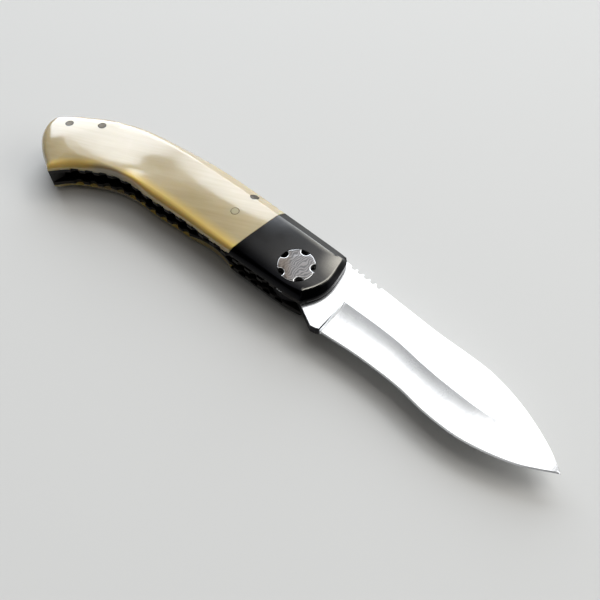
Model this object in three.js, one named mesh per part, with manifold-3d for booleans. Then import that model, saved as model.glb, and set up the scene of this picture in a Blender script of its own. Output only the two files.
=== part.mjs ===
// A liner-lock folding pocket knife, open and lying on its far side.
// Millimetres. The pivot's axis is the Z axis, +X runs to the blade's tip, +Y to the spine.
// Near pieces are named right, far ones left, as the knife is held with its edge down.
import * as THREE from "three";
import { mergeVertices } from "three/addons/utils/BufferGeometryUtils.js";
import Module from "manifold-3d";

// Thicknesses, from the far cover up through the blade to the near cover.
const coverThickness = 3.4;
const linerThickness = 1.4;
const washerThickness = 0.3;
const bladeThickness = 3.8;

// Handle outline: x, y and the width of the cover's bevel there.
const frontEdge = [
  [8.6, -8.5, 2.6],
  [11.6, -3.0, 2.5],
  [12.5, 2.0, 2.0],
  [11.8, 7.6, 1.9],
  [10.6, 12.4, 2.7],
  [8.9, 14.1, 3.7],
];
const spineEdge = [
  [8.9, 14.1, 3.7],
  [6.0, 14.25, 3.5],
  [-18.0, 14.6, 3.5],
  [-40.0, 14.8, 3.5],
  [-54.0, 14.1, 3.6],
  [-68.0, 12.5, 3.8],
  [-80.0, 10.3, 4.0],
  [-90.0, 6.8, 4.0],
  [-98.0, 2.4, 3.6],
  [-104.6, -2.4, 3.2],
  [-108.2, -6.3, 3.0],
  [-108.2, -9.6, 3.0],
  [-105.6, -14.7, 3.0],
  [-100.0, -19.5, 3.0],
  [-91.4, -24.1, 3.0],
];
const bellyEdge = [
  [-91.4, -24.1, 3.0],
  [-87.0, -19.3, 2.8],
  [-80.5, -15.1, 2.6],
  [-73.5, -11.6, 2.4],
  [-66.0, -9.9, 2.3],
  [-56.0, -9.9, 2.2],
  [-42.0, -9.1, 2.1],
  [-20.0, -9.1, 1.9],
  [2.5, -8.7, 1.5],
  [8.6, -8.5, 2.6],
];
// The middle line that the bevels and the crown slope towards.
const middleLine = [
  [2.0, 2.8],
  [-45.0, 2.8],
  [-62.0, 1.8],
  [-78.0, -1.6],
  [-90.0, -6.2],
  [-97.5, -10.2],
];
const sideWall = 0.5; // upright edge of a cover below its bevel
const crownInset = 3.6; // from the top of the bevel in to the flat
const crownRise = 0.3; // height that the crown adds from edge to flat at the bolster
const buttCrownRise = 0.9; // and at the rounder butt
const crispUntil = -42; // the spine's bevel is crisp ahead of this place
const roundFrom = -84; // and fully rounded behind this one

// Line between bolster and scale.
const jointX = -18.6; // where it crosses y = 0 on the top face
const jointSlope = 0.13; // change of x for each millimetre of y
const jointLean = 0.25; // and for each millimetre of height, as the scale overlaps the bolster
const jointGap = 0.04;

// Filework along the belly edge of the liners.
const scallopPitch = 5.1;
const scallopRadius = 1.7;
const scallopDepth = 0.9;
const scallopInScale = 0.6; // how far a groove climbs into the scale
const scallopStart = 9; // from the heel corner, along the edge
const scallopEnd = 4; // from the front corner, along the edge

// Blade outline.
const bladeSpine = [
  [8.0, 13.9],
  [24.6, 13.1],
  [34.7, 12.4],
  [46.2, 11.7],
  [56.8, 11.5],
  [63.9, 11.1],
  [71.4, 9.65],
  [79.3, 7.1],
  [88.1, 2.75],
  [94.0, -1.95],
];
const bladeEdge = [
  [94.0, -1.95],
  [89.4, -4.95],
  [84.7, -7.35],
  [76.9, -9.85],
  [68.4, -11.45],
  [62.0, -11.65],
  [55.0, -11.2],
  [47.2, -10.05],
  [39.8, -9.65],
  [29.3, -9.75],
  [18.9, -10.5],
];
const ricassoCorner = [14.9, -11.3];
const choil = [17.7, -11.6]; // centre of the round nick behind the edge
const choilRadius = 1.1;
const grindLine = [
  [17.4, 1.9],
  [31.3, 1.8],
  [38.9, 1.4],
  [46.9, 0.3],
  [54.5, -0.5],
  [61.5, -0.9],
  [68.3, -1.0],
  [74.3, -0.3],
  [80.1, 0.8],
  [84.0, 2.2],
  [87.5, 4.0],
];
const plungeX = 17.6; // where the grind begins
const plungeLength = 1.3; // over which it reaches its depth
const hollowDepth = 0.32; // of the grind below a straight wedge, each side
const edgeThickness = 0.36;
const tipThickness = 1.3; // at the spine, next to the tip
const taperFrom = 52; // the spine thins from here to the tip
const leastGrind = 0.3; // between the grind line and the edge, where they run together
const jimpingFirst = 12.3; // first of the thumb notches on the spine
const jimpingPitch = 2.55;
const jimpingCount = 5;
const jimpingRadius = 0.95;

// Pivot, stop and lock.
const closedDeg = 173; // turn of the blade from open to closed
const barrelRadius = 2.4;
const barrelBore = 1.5;
const washerRadius = 4.6;
const headRadius = 6.0;
const headThickness = 1.9;
const shankLength = 4.2;
const headNotchCount = 5;
const headNotchRadius = 1.45;
const headNotchOrbit = 5.85; // from the pivot to a notch's centre
const headNotchTurnDeg = 29;
const tangRadius = 8.1;
const tangTop = [
  [-2.0, 12.4],
  [3.0, 13.7],
];
const stopRadius = 1.6;
const stopGap = 0.3; // between the round of the tang and the stop pin
const stopOrbit = tangRadius + stopRadius + stopGap; // from the pivot to the stop pin
const stopAtDeg = 131;
const stopShoulderLength = 3.4;
const lockFaceX = -5.4;
const lockFaceTop = -3.4; // y at which the lock notch meets the round of the tang
const leafLength = 49.5;
const leafDrop = 1.6; // of the leaf's tip into the blade's slot
const leafRootTop = 0.6; // y of the leaf's upper edge at its root
const leafSlit = 0.8; // saw cut between the leaf and the rest of its liner
const ballRadius = 0.8;
const ballStandOut = 0.25;
const ballPlace = [-7.2, -6.1];
const dimpleRadius = 0.56; // of the ball's seat in the closed tang

// Pins and screws.
const pinRadius = 1.45;
const spinePins = {
  spine_pin_rear: [-100.6, -5.9],
  spine_pin_second: [-91.1, 0.9],
  spine_pin_front: [-28.5, 12.1],
};
const scalePin = [-28.8, 3.1];
const screwPlaces = { rear: [-13.6, 6.2], front: [4.4, 8.0] };
const screwRadius = 1.1;
const screwHeadRadius = 1.9;
const screwHeadHeight = 0.9;
const screwHeadLand = 0.15; // upright rim of the countersunk head
const screwLength = 3.5;
const screwSlot = 0.5; // width and depth of the driver's slot

// Back spacer: its inner edge, from the front end to the heel.
const spacerInner = [
  [-10.5, 10.7],
  [-20.0, 10.5],
  [-28.5, 9.4],
  [-45.0, 9.9],
  [-60.0, 8.8],
  [-74.0, 6.6],
  [-84.0, 3.2],
  [-91.5, -1.6],
  [-97.4, -6.4],
  [-100.8, -11.0],
  [-98.6, -15.0],
  [-90.6, -19.0],
];

// Far side's relief, through which the thumb reaches the lock leaf.
const reliefX = -30;
const reliefLength = 20;
const reliefDepth = 2.0;

// Clearances.
const pinFit = 0.04; // around a pin that is pressed in place
const runFit = 0.05; // around what turns, and at the stop and the lock
const leafGap = 0.35; // at the leaf's root and ahead of its tip
const overcut = 1; // how far a cutting body reaches past what it cuts
const farOut = 200; // beyond the whole knife

// Facets.
const grooveSides = 16;
const smallSides = 20;
const roundSides = 32;
const headSides = 48;
const reliefSides = 96;
const curveSteps = 400; // for measuring along a curve
const frontCount = 10;
const spineCount = 44;
const bellyCount = 26;
const spacerCount = 30;
const bladeSpineCount = 34;
const bladeEdgeCount = 36;
const grindCount = 60;
const grindSections = 22;
const tangCount = 10;
const tangTopCount = 6;

// Levels, from the rest face up.
const linerLow = coverThickness;
const slotLow = linerLow + linerThickness;
const bladeLow = slotLow + washerThickness;
const bladeHigh = bladeLow + bladeThickness;
const slotHigh = bladeHigh + washerThickness;
const linerHigh = slotHigh + linerThickness;
const topFace = linerHigh + coverThickness;
const bladeMiddle = (bladeLow + bladeHigh) / 2;
const radians = THREE.MathUtils.degToRad;
const lerp = THREE.MathUtils.lerp;
const smoothstep = THREE.MathUtils.smoothstep;

const wasm = await Module();
wasm.setup();

/** A solid that can be cut and joined, from a closed geometry. */
function solid(geometry) {
  const bare = geometry.index ? geometry.toNonIndexed() : geometry.clone();
  bare.deleteAttribute("normal");
  bare.deleteAttribute("uv");
  const merged = mergeVertices(bare, 1e-4);
  const vertProperties = merged.attributes.position.array;
  const triVerts = new Uint32Array(merged.index.array);
  return new wasm.Manifold(new wasm.Mesh({ numProp: 3, vertProperties, triVerts }));
}

/** The geometry of a cut or joined solid. */
function geometryOf(made) {
  const cut = made.getMesh();
  const geometry = new THREE.BufferGeometry();
  geometry.setAttribute("position", new THREE.BufferAttribute(cut.vertProperties, 3));
  geometry.setIndex(new THREE.BufferAttribute(cut.triVerts, 1));
  const loose = geometry.toNonIndexed();
  loose.computeVertexNormals();
  return loose;
}

/** Points at equal steps along a smooth curve through the given ones, as arrays. */
function smooth(points, count) {
  const vectors = points.map(([x, y, w = 0]) => new THREE.Vector3(x, y, w));
  const curve = new THREE.CatmullRomCurve3(vectors, false, "centripetal");
  curve.arcLengthDivisions = curveSteps;
  return curve.getSpacedPoints(count).map((p) => [p.x, p.y, p.z]);
}

/** Height y of a curve, given by its points, at x. */
function heightAt(points, x) {
  const line = [...points].sort((a, b) => a[0] - b[0]);
  const next = line.findIndex((p) => p[0] > x);
  if (next === 0) return line[0][1];
  if (next < 0) return line[line.length - 1][1];
  const [a, b] = [line[next - 1], line[next]];
  return lerp(a[1], b[1], (x - a[0]) / (b[0] - a[0]));
}

/** A plate between two levels with the given outline. */
function plate(points, low, high) {
  const shape = new THREE.Shape(points.map(([x, y]) => new THREE.Vector2(x, y)));
  const geometry = new THREE.ExtrudeGeometry(shape, { depth: high - low, bevelEnabled: false });
  return solid(geometry.translate(0, 0, low));
}

/** A round post on a Z axis. */
function post([x, y], radius, low, high, sides = smallSides) {
  const geometry = new THREE.CylinderGeometry(radius, radius, high - low, sides);
  return solid(geometry.rotateX(Math.PI / 2).translate(x, y, (low + high) / 2));
}

/** A turned piece on a Z axis, from a profile of [radius, level] pairs that starts and ends on it. */
function turned([x, y], profile, sides = smallSides) {
  const points = profile.map(([radius, level]) => new THREE.Vector2(radius, level));
  const geometry = new THREE.LatheGeometry(points, sides);
  return solid(geometry.rotateX(Math.PI / 2).translate(x, y, 0));
}

/** A solid through rings of equally many points, closed by flat ends. */
function loft(rings, flatten) {
  const count = rings[0].length;
  const index = [];
  for (let k = 0; k + 1 < rings.length; k++) {
    for (let i = 0; i < count; i++) {
      const j = (i + 1) % count;
      const [a, b] = [k * count + i, k * count + j];
      index.push(a, b, b + count, a, b + count, a + count);
    }
  }
  for (const [k, last] of [[0, false], [rings.length - 1, true]]) {
    const ring = rings[k].map((p) => new THREE.Vector2(...flatten(p)));
    for (const [a, b, c] of THREE.ShapeUtils.triangulateShape(ring, [])) {
      const turn = ring[b].clone().sub(ring[a]).cross(ring[c].clone().sub(ring[a]));
      const face = turn > 0 === last ? [a, b, c] : [a, c, b];
      index.push(...face.map((i) => i + k * count));
    }
  }
  const geometry = new THREE.BufferGeometry();
  geometry.setAttribute("position", new THREE.Float32BufferAttribute(rings.flat(2), 3));
  geometry.setIndex(index);
  return solid(geometry);
}

/** The same solid on the other side of the blade. */
function toFarSide(made) {
  const geometry = geometryOf(made);
  const place = geometry.attributes.position;
  for (let i = 0; i < place.count; i++) place.setZ(i, topFace - place.getZ(i));
  const faces = [];
  for (let i = 0; i < place.count; i += 3) faces.push(i, i + 2, i + 1);
  geometry.setIndex(faces);
  return solid(geometry);
}

/** A point turned about the pivot. */
function turnedAbout([x, y], degrees) {
  const [c, s] = [Math.cos(radians(degrees)), Math.sin(radians(degrees))];
  return [c * x - s * y, s * x + c * y];
}

/** A point at a distance and an angle from the pivot. */
function polar(radius, degrees) {
  return turnedAbout([radius, 0], degrees);
}

/** First point of a circle about the pivot on the line from a place at an angle. */
function reachCircle([x, y], angle, radius) {
  const [c, s] = [Math.cos(angle), Math.sin(angle)];
  const along = x * c + y * s;
  const distance = -along - Math.sqrt(along ** 2 - x ** 2 - y ** 2 + radius ** 2);
  return [x + c * distance, y + s * distance];
}

/** Points of an arc about the pivot. */
function arc(radius, fromDeg, toDeg, steps) {
  return Array.from({ length: steps + 1 }, (_, i) => polar(radius, lerp(fromDeg, toDeg, i / steps)));
}

const bellyPoints = smooth(bellyEdge, bellyCount);
const handleOutline = [
  ...smooth(frontEdge, frontCount).slice(0, -1),
  ...smooth(spineEdge, spineCount).slice(0, -1),
  ...bellyPoints.slice(0, -1),
];

/** Unit direction from an outline point to the middle line. */
function inward([x, y]) {
  let best = null;
  for (let i = 0; i + 1 < middleLine.length; i++) {
    const [a, b] = [middleLine[i], middleLine[i + 1]].map((p) => new THREE.Vector2(...p));
    const along = b.clone().sub(a);
    const share = new THREE.Vector2(x, y).sub(a).dot(along) / along.lengthSq();
    const near = a.addScaledVector(along, THREE.MathUtils.clamp(share, 0, 1));
    const way = near.sub(new THREE.Vector2(x, y));
    if (!best || way.length() < best.length()) best = way;
  }
  return best.normalize();
}

/** Rings of the near cover's surface, from its foot on the liner to its flat top. */
function coverRings() {
  const bevelSteps = [0, 0.45, 0.8, 1];
  const crownSteps = [0.45, 1];
  const rings = [[], [], ...bevelSteps.slice(1).map(() => []), ...crownSteps.map(() => [])];
  handleOutline.forEach((point, i) => {
    const [x, y, bevel] = point;
    const way = inward(point);
    const onBelly = i > frontCount + spineCount - 2;
    const roundness = onBelly ? 1 : smoothstep(-x, -crispUntil, -roundFrom);
    const rise = lerp(crownRise, buttCrownRise, smoothstep(-x, -crispUntil, -roundFrom));
    const shoulder = topFace - rise;
    const crownAt = (inset) => rise * (1 - (1 - inset / (bevel + crownInset)) ** 2);
    const place = (inset, z) => [x + way.x * inset, y + way.y * inset, z + crownAt(inset)];
    const column = [[x, y, linerHigh]];
    for (const h of bevelSteps) {
      const share = lerp(h, 1 - Math.sqrt(1 - h * h), roundness);
      column.push(place(bevel * share, lerp(linerHigh + sideWall, shoulder, h)));
    }
    for (const h of crownSteps) column.push(place(bevel + crownInset * h, shoulder));
    column.forEach((p, k) => rings[k].push(p));
  });
  return rings;
}

const nearRings = coverRings();
const farRings = nearRings.map((ring) => ring.map(([x, y, z]) => [x, y, topFace - z])).reverse();
const planView = ([x, y]) => [x, y];
const wholeHandle = loft([...farRings, ...nearRings], planView);

/** Cutting bodies for the round grooves filed along the belly, up to the given level. */
function scallops(low, high) {
  const edge = smooth(bellyEdge, curveSteps);
  const length = edge.slice(1).reduce((sum, [x, y], i) => {
    return sum + Math.hypot(x - edge[i][0], y - edge[i][1]);
  }, 0);
  const cutters = [];
  for (let s = scallopStart; s < length - scallopEnd; s += scallopPitch) {
    const at = Math.round((s / length) * curveSteps);
    const [before, here, after] = [edge[at - 1], edge[at], edge[at + 1]];
    const along = new THREE.Vector2(after[0] - before[0], after[1] - before[1]).normalize();
    const out = scallopRadius - scallopDepth;
    const centre = [here[0] + along.y * out, here[1] - along.x * out];
    cutters.push(post(centre, scallopRadius, low, high, grooveSides));
  }
  return cutters;
}

/** A solid with every one of the cutting bodies taken out of it. */
function cutBy(made, cutters) {
  return cutters.reduce((left, cutter) => left.subtract(cutter), made);
}

/** Whole cover of one side, before it is split into bolster and scale. */
function coverSolid() {
  return loft(nearRings, planView);
}

/** Everything ahead of the joint line (side 1) or behind it (side -1). */
function jointBlock(side) {
  const block = new THREE.BoxGeometry(farOut, 2 * farOut, 2 * (coverThickness + overcut));
  block.translate(side * (farOut / 2 + jointGap / 2), 0, 0);
  block.applyMatrix4(new THREE.Matrix4().makeShear(0, 0, jointSlope, 0, jointLean, 0));
  return solid(block.translate(jointX, 0, topFace));
}

/** Countersunk body from a level below the head up to the screw's end, grown by a clearance. */
function screwSolid(place, low, fit) {
  const head = screwHeadRadius + fit;
  const shank = screwRadius + fit;
  const end = slotHigh + screwLength + fit;
  return turned(place, [
    [0, low],
    [head, low],
    [head, slotHigh + screwHeadLand],
    [shank, slotHigh + screwHeadHeight],
    [shank, end],
    [0, end],
  ]);
}

/** Rooms for the bolster screws, whose heads are flush with the liner's inner face. */
function screwRooms() {
  return Object.values(screwPlaces).map((place) => screwSolid(place, slotHigh - overcut, pinFit));
}

/** Near bolster: front part of the cover, recessed for the pivot's head. */
function bolster() {
  const headSeat = topFace - headThickness;
  return cutBy(coverSolid().intersect(jointBlock(1)), [
    post([0, 0], headRadius + pinFit, headSeat, topFace + overcut, headSides),
    post([0, 0], barrelRadius + pinFit, linerHigh - overcut, topFace, roundSides),
    ...screwRooms(),
  ]);
}

/** Near scale: rear part of the cover, drilled for its pins. */
function scale() {
  const pins = [...Object.values(spinePins), scalePin];
  return cutBy(coverSolid().intersect(jointBlock(-1)), [
    ...pins.map((place) => post(place, pinRadius + pinFit, linerHigh - overcut, topFace + overcut)),
    ...scallops(linerHigh - overcut, linerHigh + scallopInScale),
  ]);
}

/** Cutting body for the thumb's way to the lock leaf, through the far liner and scale. */
function thumbRelief() {
  const radius = (reliefLength ** 2 / 4 + reliefDepth ** 2) / (2 * reliefDepth);
  const edgeY = heightAt(bellyPoints, reliefX);
  const centre = [reliefX, edgeY + reliefDepth - radius];
  return post(centre, radius, -overcut, slotLow + overcut, reliefSides);
}

/** Holes that both liners share. */
function linerHoles() {
  const through = [slotHigh - overcut, linerHigh + overcut];
  return [
    post([0, 0], barrelRadius + pinFit, ...through, roundSides),
    post(polar(stopOrbit, stopAtDeg), stopRadius + pinFit, ...through, roundSides),
    ...[...Object.values(spinePins), scalePin].map((p) => post(p, pinRadius + pinFit, ...through)),
    ...screwRooms(),
    ...scallops(...through),
  ];
}

const linerPlate = plate(handleOutline, slotHigh, linerHigh);
const leafTipX = lockFaceX - runFit;
const leafRootX = leafTipX - leafLength;
const leafTipTop = lockFaceTop - leafSlit / 2;

/** Plan of the lock leaf's area, grown by a gap at its ends and by another along its top. */
function leafArea(ends, above) {
  return [
    [leafRootX - ends, -farOut],
    [leafTipX + ends, -farOut],
    [leafTipX + ends, leafTipTop + above],
    [leafRootX - ends, leafRootTop + above],
  ];
}

/** Near liner, with the lock leaf sawn out of it. */
function linerWithLeafRoom() {
  const room = plate(leafArea(leafGap, leafSlit), slotHigh - overcut, linerHigh + overcut);
  return cutBy(linerPlate, [room, ...linerHoles()]);
}

/** Far liner, in the near liner's place, with the thumb's relief still to cut. */
function plainLiner() {
  return cutBy(linerPlate, linerHoles());
}

/** Lock leaf lying flush in its liner. */
function lockLeaf() {
  const area = plate(leafArea(0, 0), slotHigh - overcut, linerHigh + overcut);
  return cutBy(linerPlate.intersect(area), [
    post(ballPlace, ballRadius + pinFit, slotHigh - overcut, linerHigh + overcut),
    ...scallops(slotHigh - overcut, linerHigh + overcut),
  ]);
}

/** Outline of the blade with its tang, seen from the near side. */
function bladeOutline() {
  const stopAt = polar(stopOrbit, stopAtDeg);
  const touch = stopRadius + runFit;
  // The shoulder stands on the radius that just clears the stop pin.
  const shoulderDeg = stopAtDeg - THREE.MathUtils.radToDeg(Math.asin(touch / stopOrbit));
  // The kick is the line from the ricasso's corner that touches the stop pin when closed.
  const stopInBlade = turnedAbout(stopAt, closedDeg);
  const way = [stopInBlade[0] - ricassoCorner[0], stopInBlade[1] - ricassoCorner[1]];
  const reach = Math.hypot(...way);
  const lean = Math.atan2(way[1], way[0]) - Math.asin(touch / reach);
  const kick = reachCircle(ricassoCorner, lean, tangRadius);
  const kickDeg = THREE.MathUtils.radToDeg(Math.atan2(kick[1], kick[0]));
  const lockLow = -Math.sqrt(tangRadius ** 2 - lockFaceX ** 2);
  const lockLowDeg = THREE.MathUtils.radToDeg(Math.atan2(lockLow, lockFaceX));
  const lockHigh = [-Math.sqrt(tangRadius ** 2 - lockFaceTop ** 2), lockFaceTop];
  const lockHighDeg = THREE.MathUtils.radToDeg(Math.atan2(lockHigh[1], lockHigh[0]));
  const shoulderTop = polar(tangRadius + stopShoulderLength, shoulderDeg);
  return [
    ...smooth(bladeSpine, bladeSpineCount).slice(1),
    ...smooth(bladeEdge, bladeEdgeCount).slice(1),
    ricassoCorner,
    ...arc(tangRadius, kickDeg, lockLowDeg, tangCount),
    [lockFaceX, lockFaceTop],
    ...arc(tangRadius, lockHighDeg, shoulderDeg - 360, tangCount),
    ...smooth([shoulderTop, ...tangTop, bladeSpine[0]], tangTopCount),
  ];
}

/** The space that the hollow grinds leave for the blade, as sections along it. */
function grindEnvelope() {
  const spine = smooth(bladeSpine, grindCount);
  const edge = smooth(bladeEdge, grindCount);
  const grind = smooth(grindLine, grindCount);
  const [tipX] = bladeSpine[bladeSpine.length - 1];
  const hollowSteps = [0.2, 0.45, 0.7];
  const section = (x, ground) => {
    const taper = smoothstep(x, taperFrom, tipX);
    const thick = lerp(bladeThickness, tipThickness, ground ? taper : 0) / 2;
    const thin = ground ? edgeThickness / 2 : thick;
    const low = heightAt(edge, x);
    const high = Math.max(Math.min(heightAt(grind, x), heightAt(spine, x)), low + leastGrind);
    const half = [[farOut, thick], [high, thick]];
    for (const u of hollowSteps) {
      const sag = ground ? hollowDepth * (1 - taper) * 4 * u * (1 - u) : 0;
      half.push([lerp(high, low, u), lerp(thick, thin, u) - sag]);
    }
    half.push([low, thin], [-farOut, thin]);
    const lower = [...half].reverse().map(([y, z]) => [y, -z]);
    return [...half, ...lower].map(([y, z]) => [x, y, bladeMiddle + z]);
  };
  const rings = [section(-farOut, false), section(plungeX, false)];
  for (let i = 0; i <= grindSections; i++) {
    rings.push(section(lerp(plungeX + plungeLength, tipX, i / grindSections), true));
  }
  rings.push(section(tipX + overcut, true));
  return loft(rings, (p) => [p[1], p[2]]);
}

/** Blade, with its pivot hole, choil, thumb notches and the detent's dimple. */
function blade() {
  const through = [bladeLow - overcut, bladeHigh + overcut];
  const spine = smooth(bladeSpine, grindCount);
  const notches = Array.from({ length: jimpingCount }, (_, i) => {
    const x = jimpingFirst + i * jimpingPitch;
    return post([x, heightAt(spine, x)], jimpingRadius, ...through, grooveSides);
  });
  const dimple = turnedAbout(ballPlace, closedDeg);
  return cutBy(plate(bladeOutline(), bladeLow, bladeHigh).intersect(grindEnvelope()), [
    post([0, 0], barrelRadius + runFit, ...through, roundSides),
    post(choil, choilRadius, ...through, grooveSides),
    post(dimple, dimpleRadius, bladeHigh - ballStandOut, bladeHigh + overcut, grooveSides),
    ...notches,
  ]);
}

/** Spacer along the spine and the butt, between the liners. */
function backSpacer() {
  const spine = smooth(spineEdge, spineCount).filter(([x]) => x < spacerInner[0][0]);
  const outline = [...spine, ...smooth(spacerInner, spacerCount).reverse()];
  const through = [slotLow - overcut, slotHigh + overcut];
  const holes = Object.values(spinePins).map((p) => post(p, pinRadius + pinFit, ...through));
  return cutBy(plate(outline, slotLow, slotHigh), holes);
}

/** Near half of the pivot: a flush round head, notched for a spanner, on a shank. */
function pivotScrew() {
  const headSeat = topFace - headThickness;
  const notches = Array.from({ length: headNotchCount }, (_, i) => {
    const centre = polar(headNotchOrbit, headNotchTurnDeg + (i * 360) / headNotchCount);
    return post(centre, headNotchRadius, headSeat - overcut, topFace + overcut);
  });
  const shank = post([0, 0], barrelBore - runFit, headSeat - shankLength, headSeat + overcut);
  return cutBy(post([0, 0], headRadius, headSeat, topFace, headSides).add(shank), notches);
}

/** Sleeve that the blade turns on. */
function pivotBarrel() {
  const ends = [headThickness, topFace - headThickness];
  const bore = post([0, 0], barrelBore, ends[0] - overcut, ends[1] + overcut, smallSides);
  return post([0, 0], barrelRadius, ...ends, roundSides).subtract(bore);
}

/** Washer between a liner and the blade. */
function washer(low) {
  const high = low + washerThickness;
  const bore = post([0, 0], barrelRadius + pinFit, low - overcut, high + overcut, roundSides);
  return post([0, 0], washerRadius, low, high, roundSides).subtract(bore);
}

/** Pin across the slot, which the blade stops against when open and when closed. */
function stopPin() {
  return post(polar(stopOrbit, stopAtDeg), stopRadius, linerLow, linerHigh, roundSides);
}

/** Countersunk screw that holds the near bolster from inside its liner. */
function bolsterScrew(place) {
  const slotBox = new THREE.BoxGeometry(2 * screwHeadRadius + overcut, screwSlot, 2 * screwSlot);
  return screwSolid(place, slotHigh, 0).subtract(solid(slotBox.translate(...place, slotHigh)));
}

/** Pin through the whole handle, dressed flush with both scales. */
function throughPin(place) {
  return post(place, pinRadius, -overcut, topFace + overcut).intersect(wholeHandle);
}

/** Short pin from the near scale into its liner, dressed flush with the scale. */
function shortPin() {
  return post(scalePin, pinRadius, slotHigh, topFace + overcut).intersect(wholeHandle);
}

/** Material of one kind of piece. */
function finish(color, roughness, metalness) {
  return () => new THREE.MeshStandardMaterial({ color, roughness, metalness });
}

const polishedSteel = finish(0xdfe1e2, 0.22, 1);
const blackedSteel = finish(0x33312f, 0.42, 1);
const darkLinerSteel = finish(0x1f1e1d, 0.5, 1);
const patternSteel = finish(0x8d8b88, 0.35, 1);
const brightSteel = finish(0xb9babb, 0.3, 1);
const brownedPin = finish(0x7d7263, 0.45, 1);
const ivory = finish(0xe6dfc8, 0.2, 0);
const ivoryPin = finish(0xc3b68f, 0.35, 0);
const bronze = finish(0xa8804a, 0.4, 1);
const blackSpacer = finish(0x151413, 0.6, 0);

/** One named piece. */
function piece(name, made, material) {
  const mesh = new THREE.Mesh(geometryOf(made), material());
  mesh.name = name;
  return mesh;
}

const knife = new THREE.Group();

const bladeGroup = new THREE.Group();
bladeGroup.add(piece("blade", blade(), polishedSteel));

const handleGroup = new THREE.Group();
handleGroup.add(
  piece("liner_right", linerWithLeafRoom(), darkLinerSteel),
  piece("liner_left", toFarSide(plainLiner()).subtract(thumbRelief()), darkLinerSteel),
  piece("bolster_right", bolster(), blackedSteel),
  piece("bolster_left", toFarSide(bolster()), blackedSteel),
  piece("scale_right", scale(), ivory),
  piece("scale_left", toFarSide(scale()).subtract(thumbRelief()), ivory),
  piece("back_spacer", backSpacer(), blackSpacer),
  piece("stop_pin", stopPin(), brightSteel),
  piece("pivot_barrel", pivotBarrel(), brightSteel),
  piece("pivot_screw_right", pivotScrew(), patternSteel),
  piece("pivot_screw_left", toFarSide(pivotScrew()), patternSteel),
  piece("washer_right", washer(bladeHigh), bronze),
  piece("washer_left", washer(slotLow), bronze),
  piece("scale_pin_right", shortPin(), ivoryPin),
  piece("scale_pin_left", toFarSide(shortPin()), ivoryPin),
);
for (const [name, place] of Object.entries(spinePins)) {
  handleGroup.add(piece(name, throughPin(place), brownedPin));
}
for (const [end, place] of Object.entries(screwPlaces)) {
  const made = bolsterScrew(place);
  handleGroup.add(piece(`bolster_screw_right_${end}`, made, brightSteel));
  handleGroup.add(piece(`bolster_screw_left_${end}`, toFarSide(made), brightSteel));
}

// The leaf is sprung down into the slot from its root, behind the tang's lock face.
const leafHinge = new THREE.Vector3(leafRootX, 0, (slotHigh + linerHigh) / 2);
const leafGroup = new THREE.Group();
leafGroup.position.copy(leafHinge);
leafGroup.rotation.y = Math.asin(leafDrop / leafLength);
const ball = new THREE.SphereGeometry(ballRadius, grooveSides, grooveSides / 2).rotateX(Math.PI / 2);
ball.translate(...ballPlace, slotHigh + ballRadius - ballStandOut);
for (const leafPiece of [
  piece("lock_leaf", lockLeaf(), darkLinerSteel),
  piece("detent_ball", solid(ball), brightSteel),
]) {
  leafPiece.position.copy(leafHinge).negate();
  leafGroup.add(leafPiece);
}
handleGroup.add(leafGroup);

knife.add(bladeGroup, handleGroup);

export default knife;
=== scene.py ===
"""Looks of an open liner-lock folding knife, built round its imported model.

The classes hold their sizes in millimetres, and the meshes are made in metres. The pivot's axis is the
Z axis, +X runs to the blade's tip, +Y to the spine and +Z to the near side, which is called right.
"""

import logging
import math
from contextlib import contextmanager
from dataclasses import dataclass
from enum import Enum
from typing import Callable, Iterable, Iterator, Sequence

import bmesh
import bpy
import numpy as np
from mathutils import Matrix, Vector


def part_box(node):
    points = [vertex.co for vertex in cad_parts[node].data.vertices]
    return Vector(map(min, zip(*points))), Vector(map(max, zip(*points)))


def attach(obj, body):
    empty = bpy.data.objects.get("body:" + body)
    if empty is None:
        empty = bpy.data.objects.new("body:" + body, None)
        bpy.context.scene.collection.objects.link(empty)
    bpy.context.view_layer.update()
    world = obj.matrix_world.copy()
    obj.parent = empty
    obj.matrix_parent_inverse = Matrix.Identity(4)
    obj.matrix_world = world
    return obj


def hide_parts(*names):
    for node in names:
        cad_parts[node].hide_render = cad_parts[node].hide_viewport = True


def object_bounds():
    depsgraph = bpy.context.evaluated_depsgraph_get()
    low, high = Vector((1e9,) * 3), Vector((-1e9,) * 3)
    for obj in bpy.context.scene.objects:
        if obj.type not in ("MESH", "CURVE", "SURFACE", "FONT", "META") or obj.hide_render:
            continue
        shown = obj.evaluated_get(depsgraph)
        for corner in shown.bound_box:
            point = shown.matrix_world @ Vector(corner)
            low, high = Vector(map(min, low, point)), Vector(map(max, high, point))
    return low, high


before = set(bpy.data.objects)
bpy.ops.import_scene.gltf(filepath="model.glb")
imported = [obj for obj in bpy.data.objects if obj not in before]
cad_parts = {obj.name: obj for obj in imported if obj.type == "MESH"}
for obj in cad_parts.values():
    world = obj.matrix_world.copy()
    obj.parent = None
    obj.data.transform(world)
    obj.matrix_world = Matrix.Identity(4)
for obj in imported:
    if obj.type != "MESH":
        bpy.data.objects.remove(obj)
CAD_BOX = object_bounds()

LOG = logging.getLogger("knife")
MM = 0.001

Row = tuple[float, ...]
Rows = tuple[Row, ...]
Draft = bmesh.types.BMesh
Thing = bpy.types.Object
Tree = bpy.types.NodeTree
Socket = bpy.types.NodeSocket

FLAT_TURN = 0.3  # degrees under which two faces count as one flat
MERGED = 0.002  # millimetres under which two points count as one
FINE = 0.2  # millimetres between the points of the blade's fine lines


class Side(Enum):
    """The two sides of the handle: right is near the camera, left lies on the floor."""

    RIGHT = "right"
    LEFT = "left"


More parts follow.
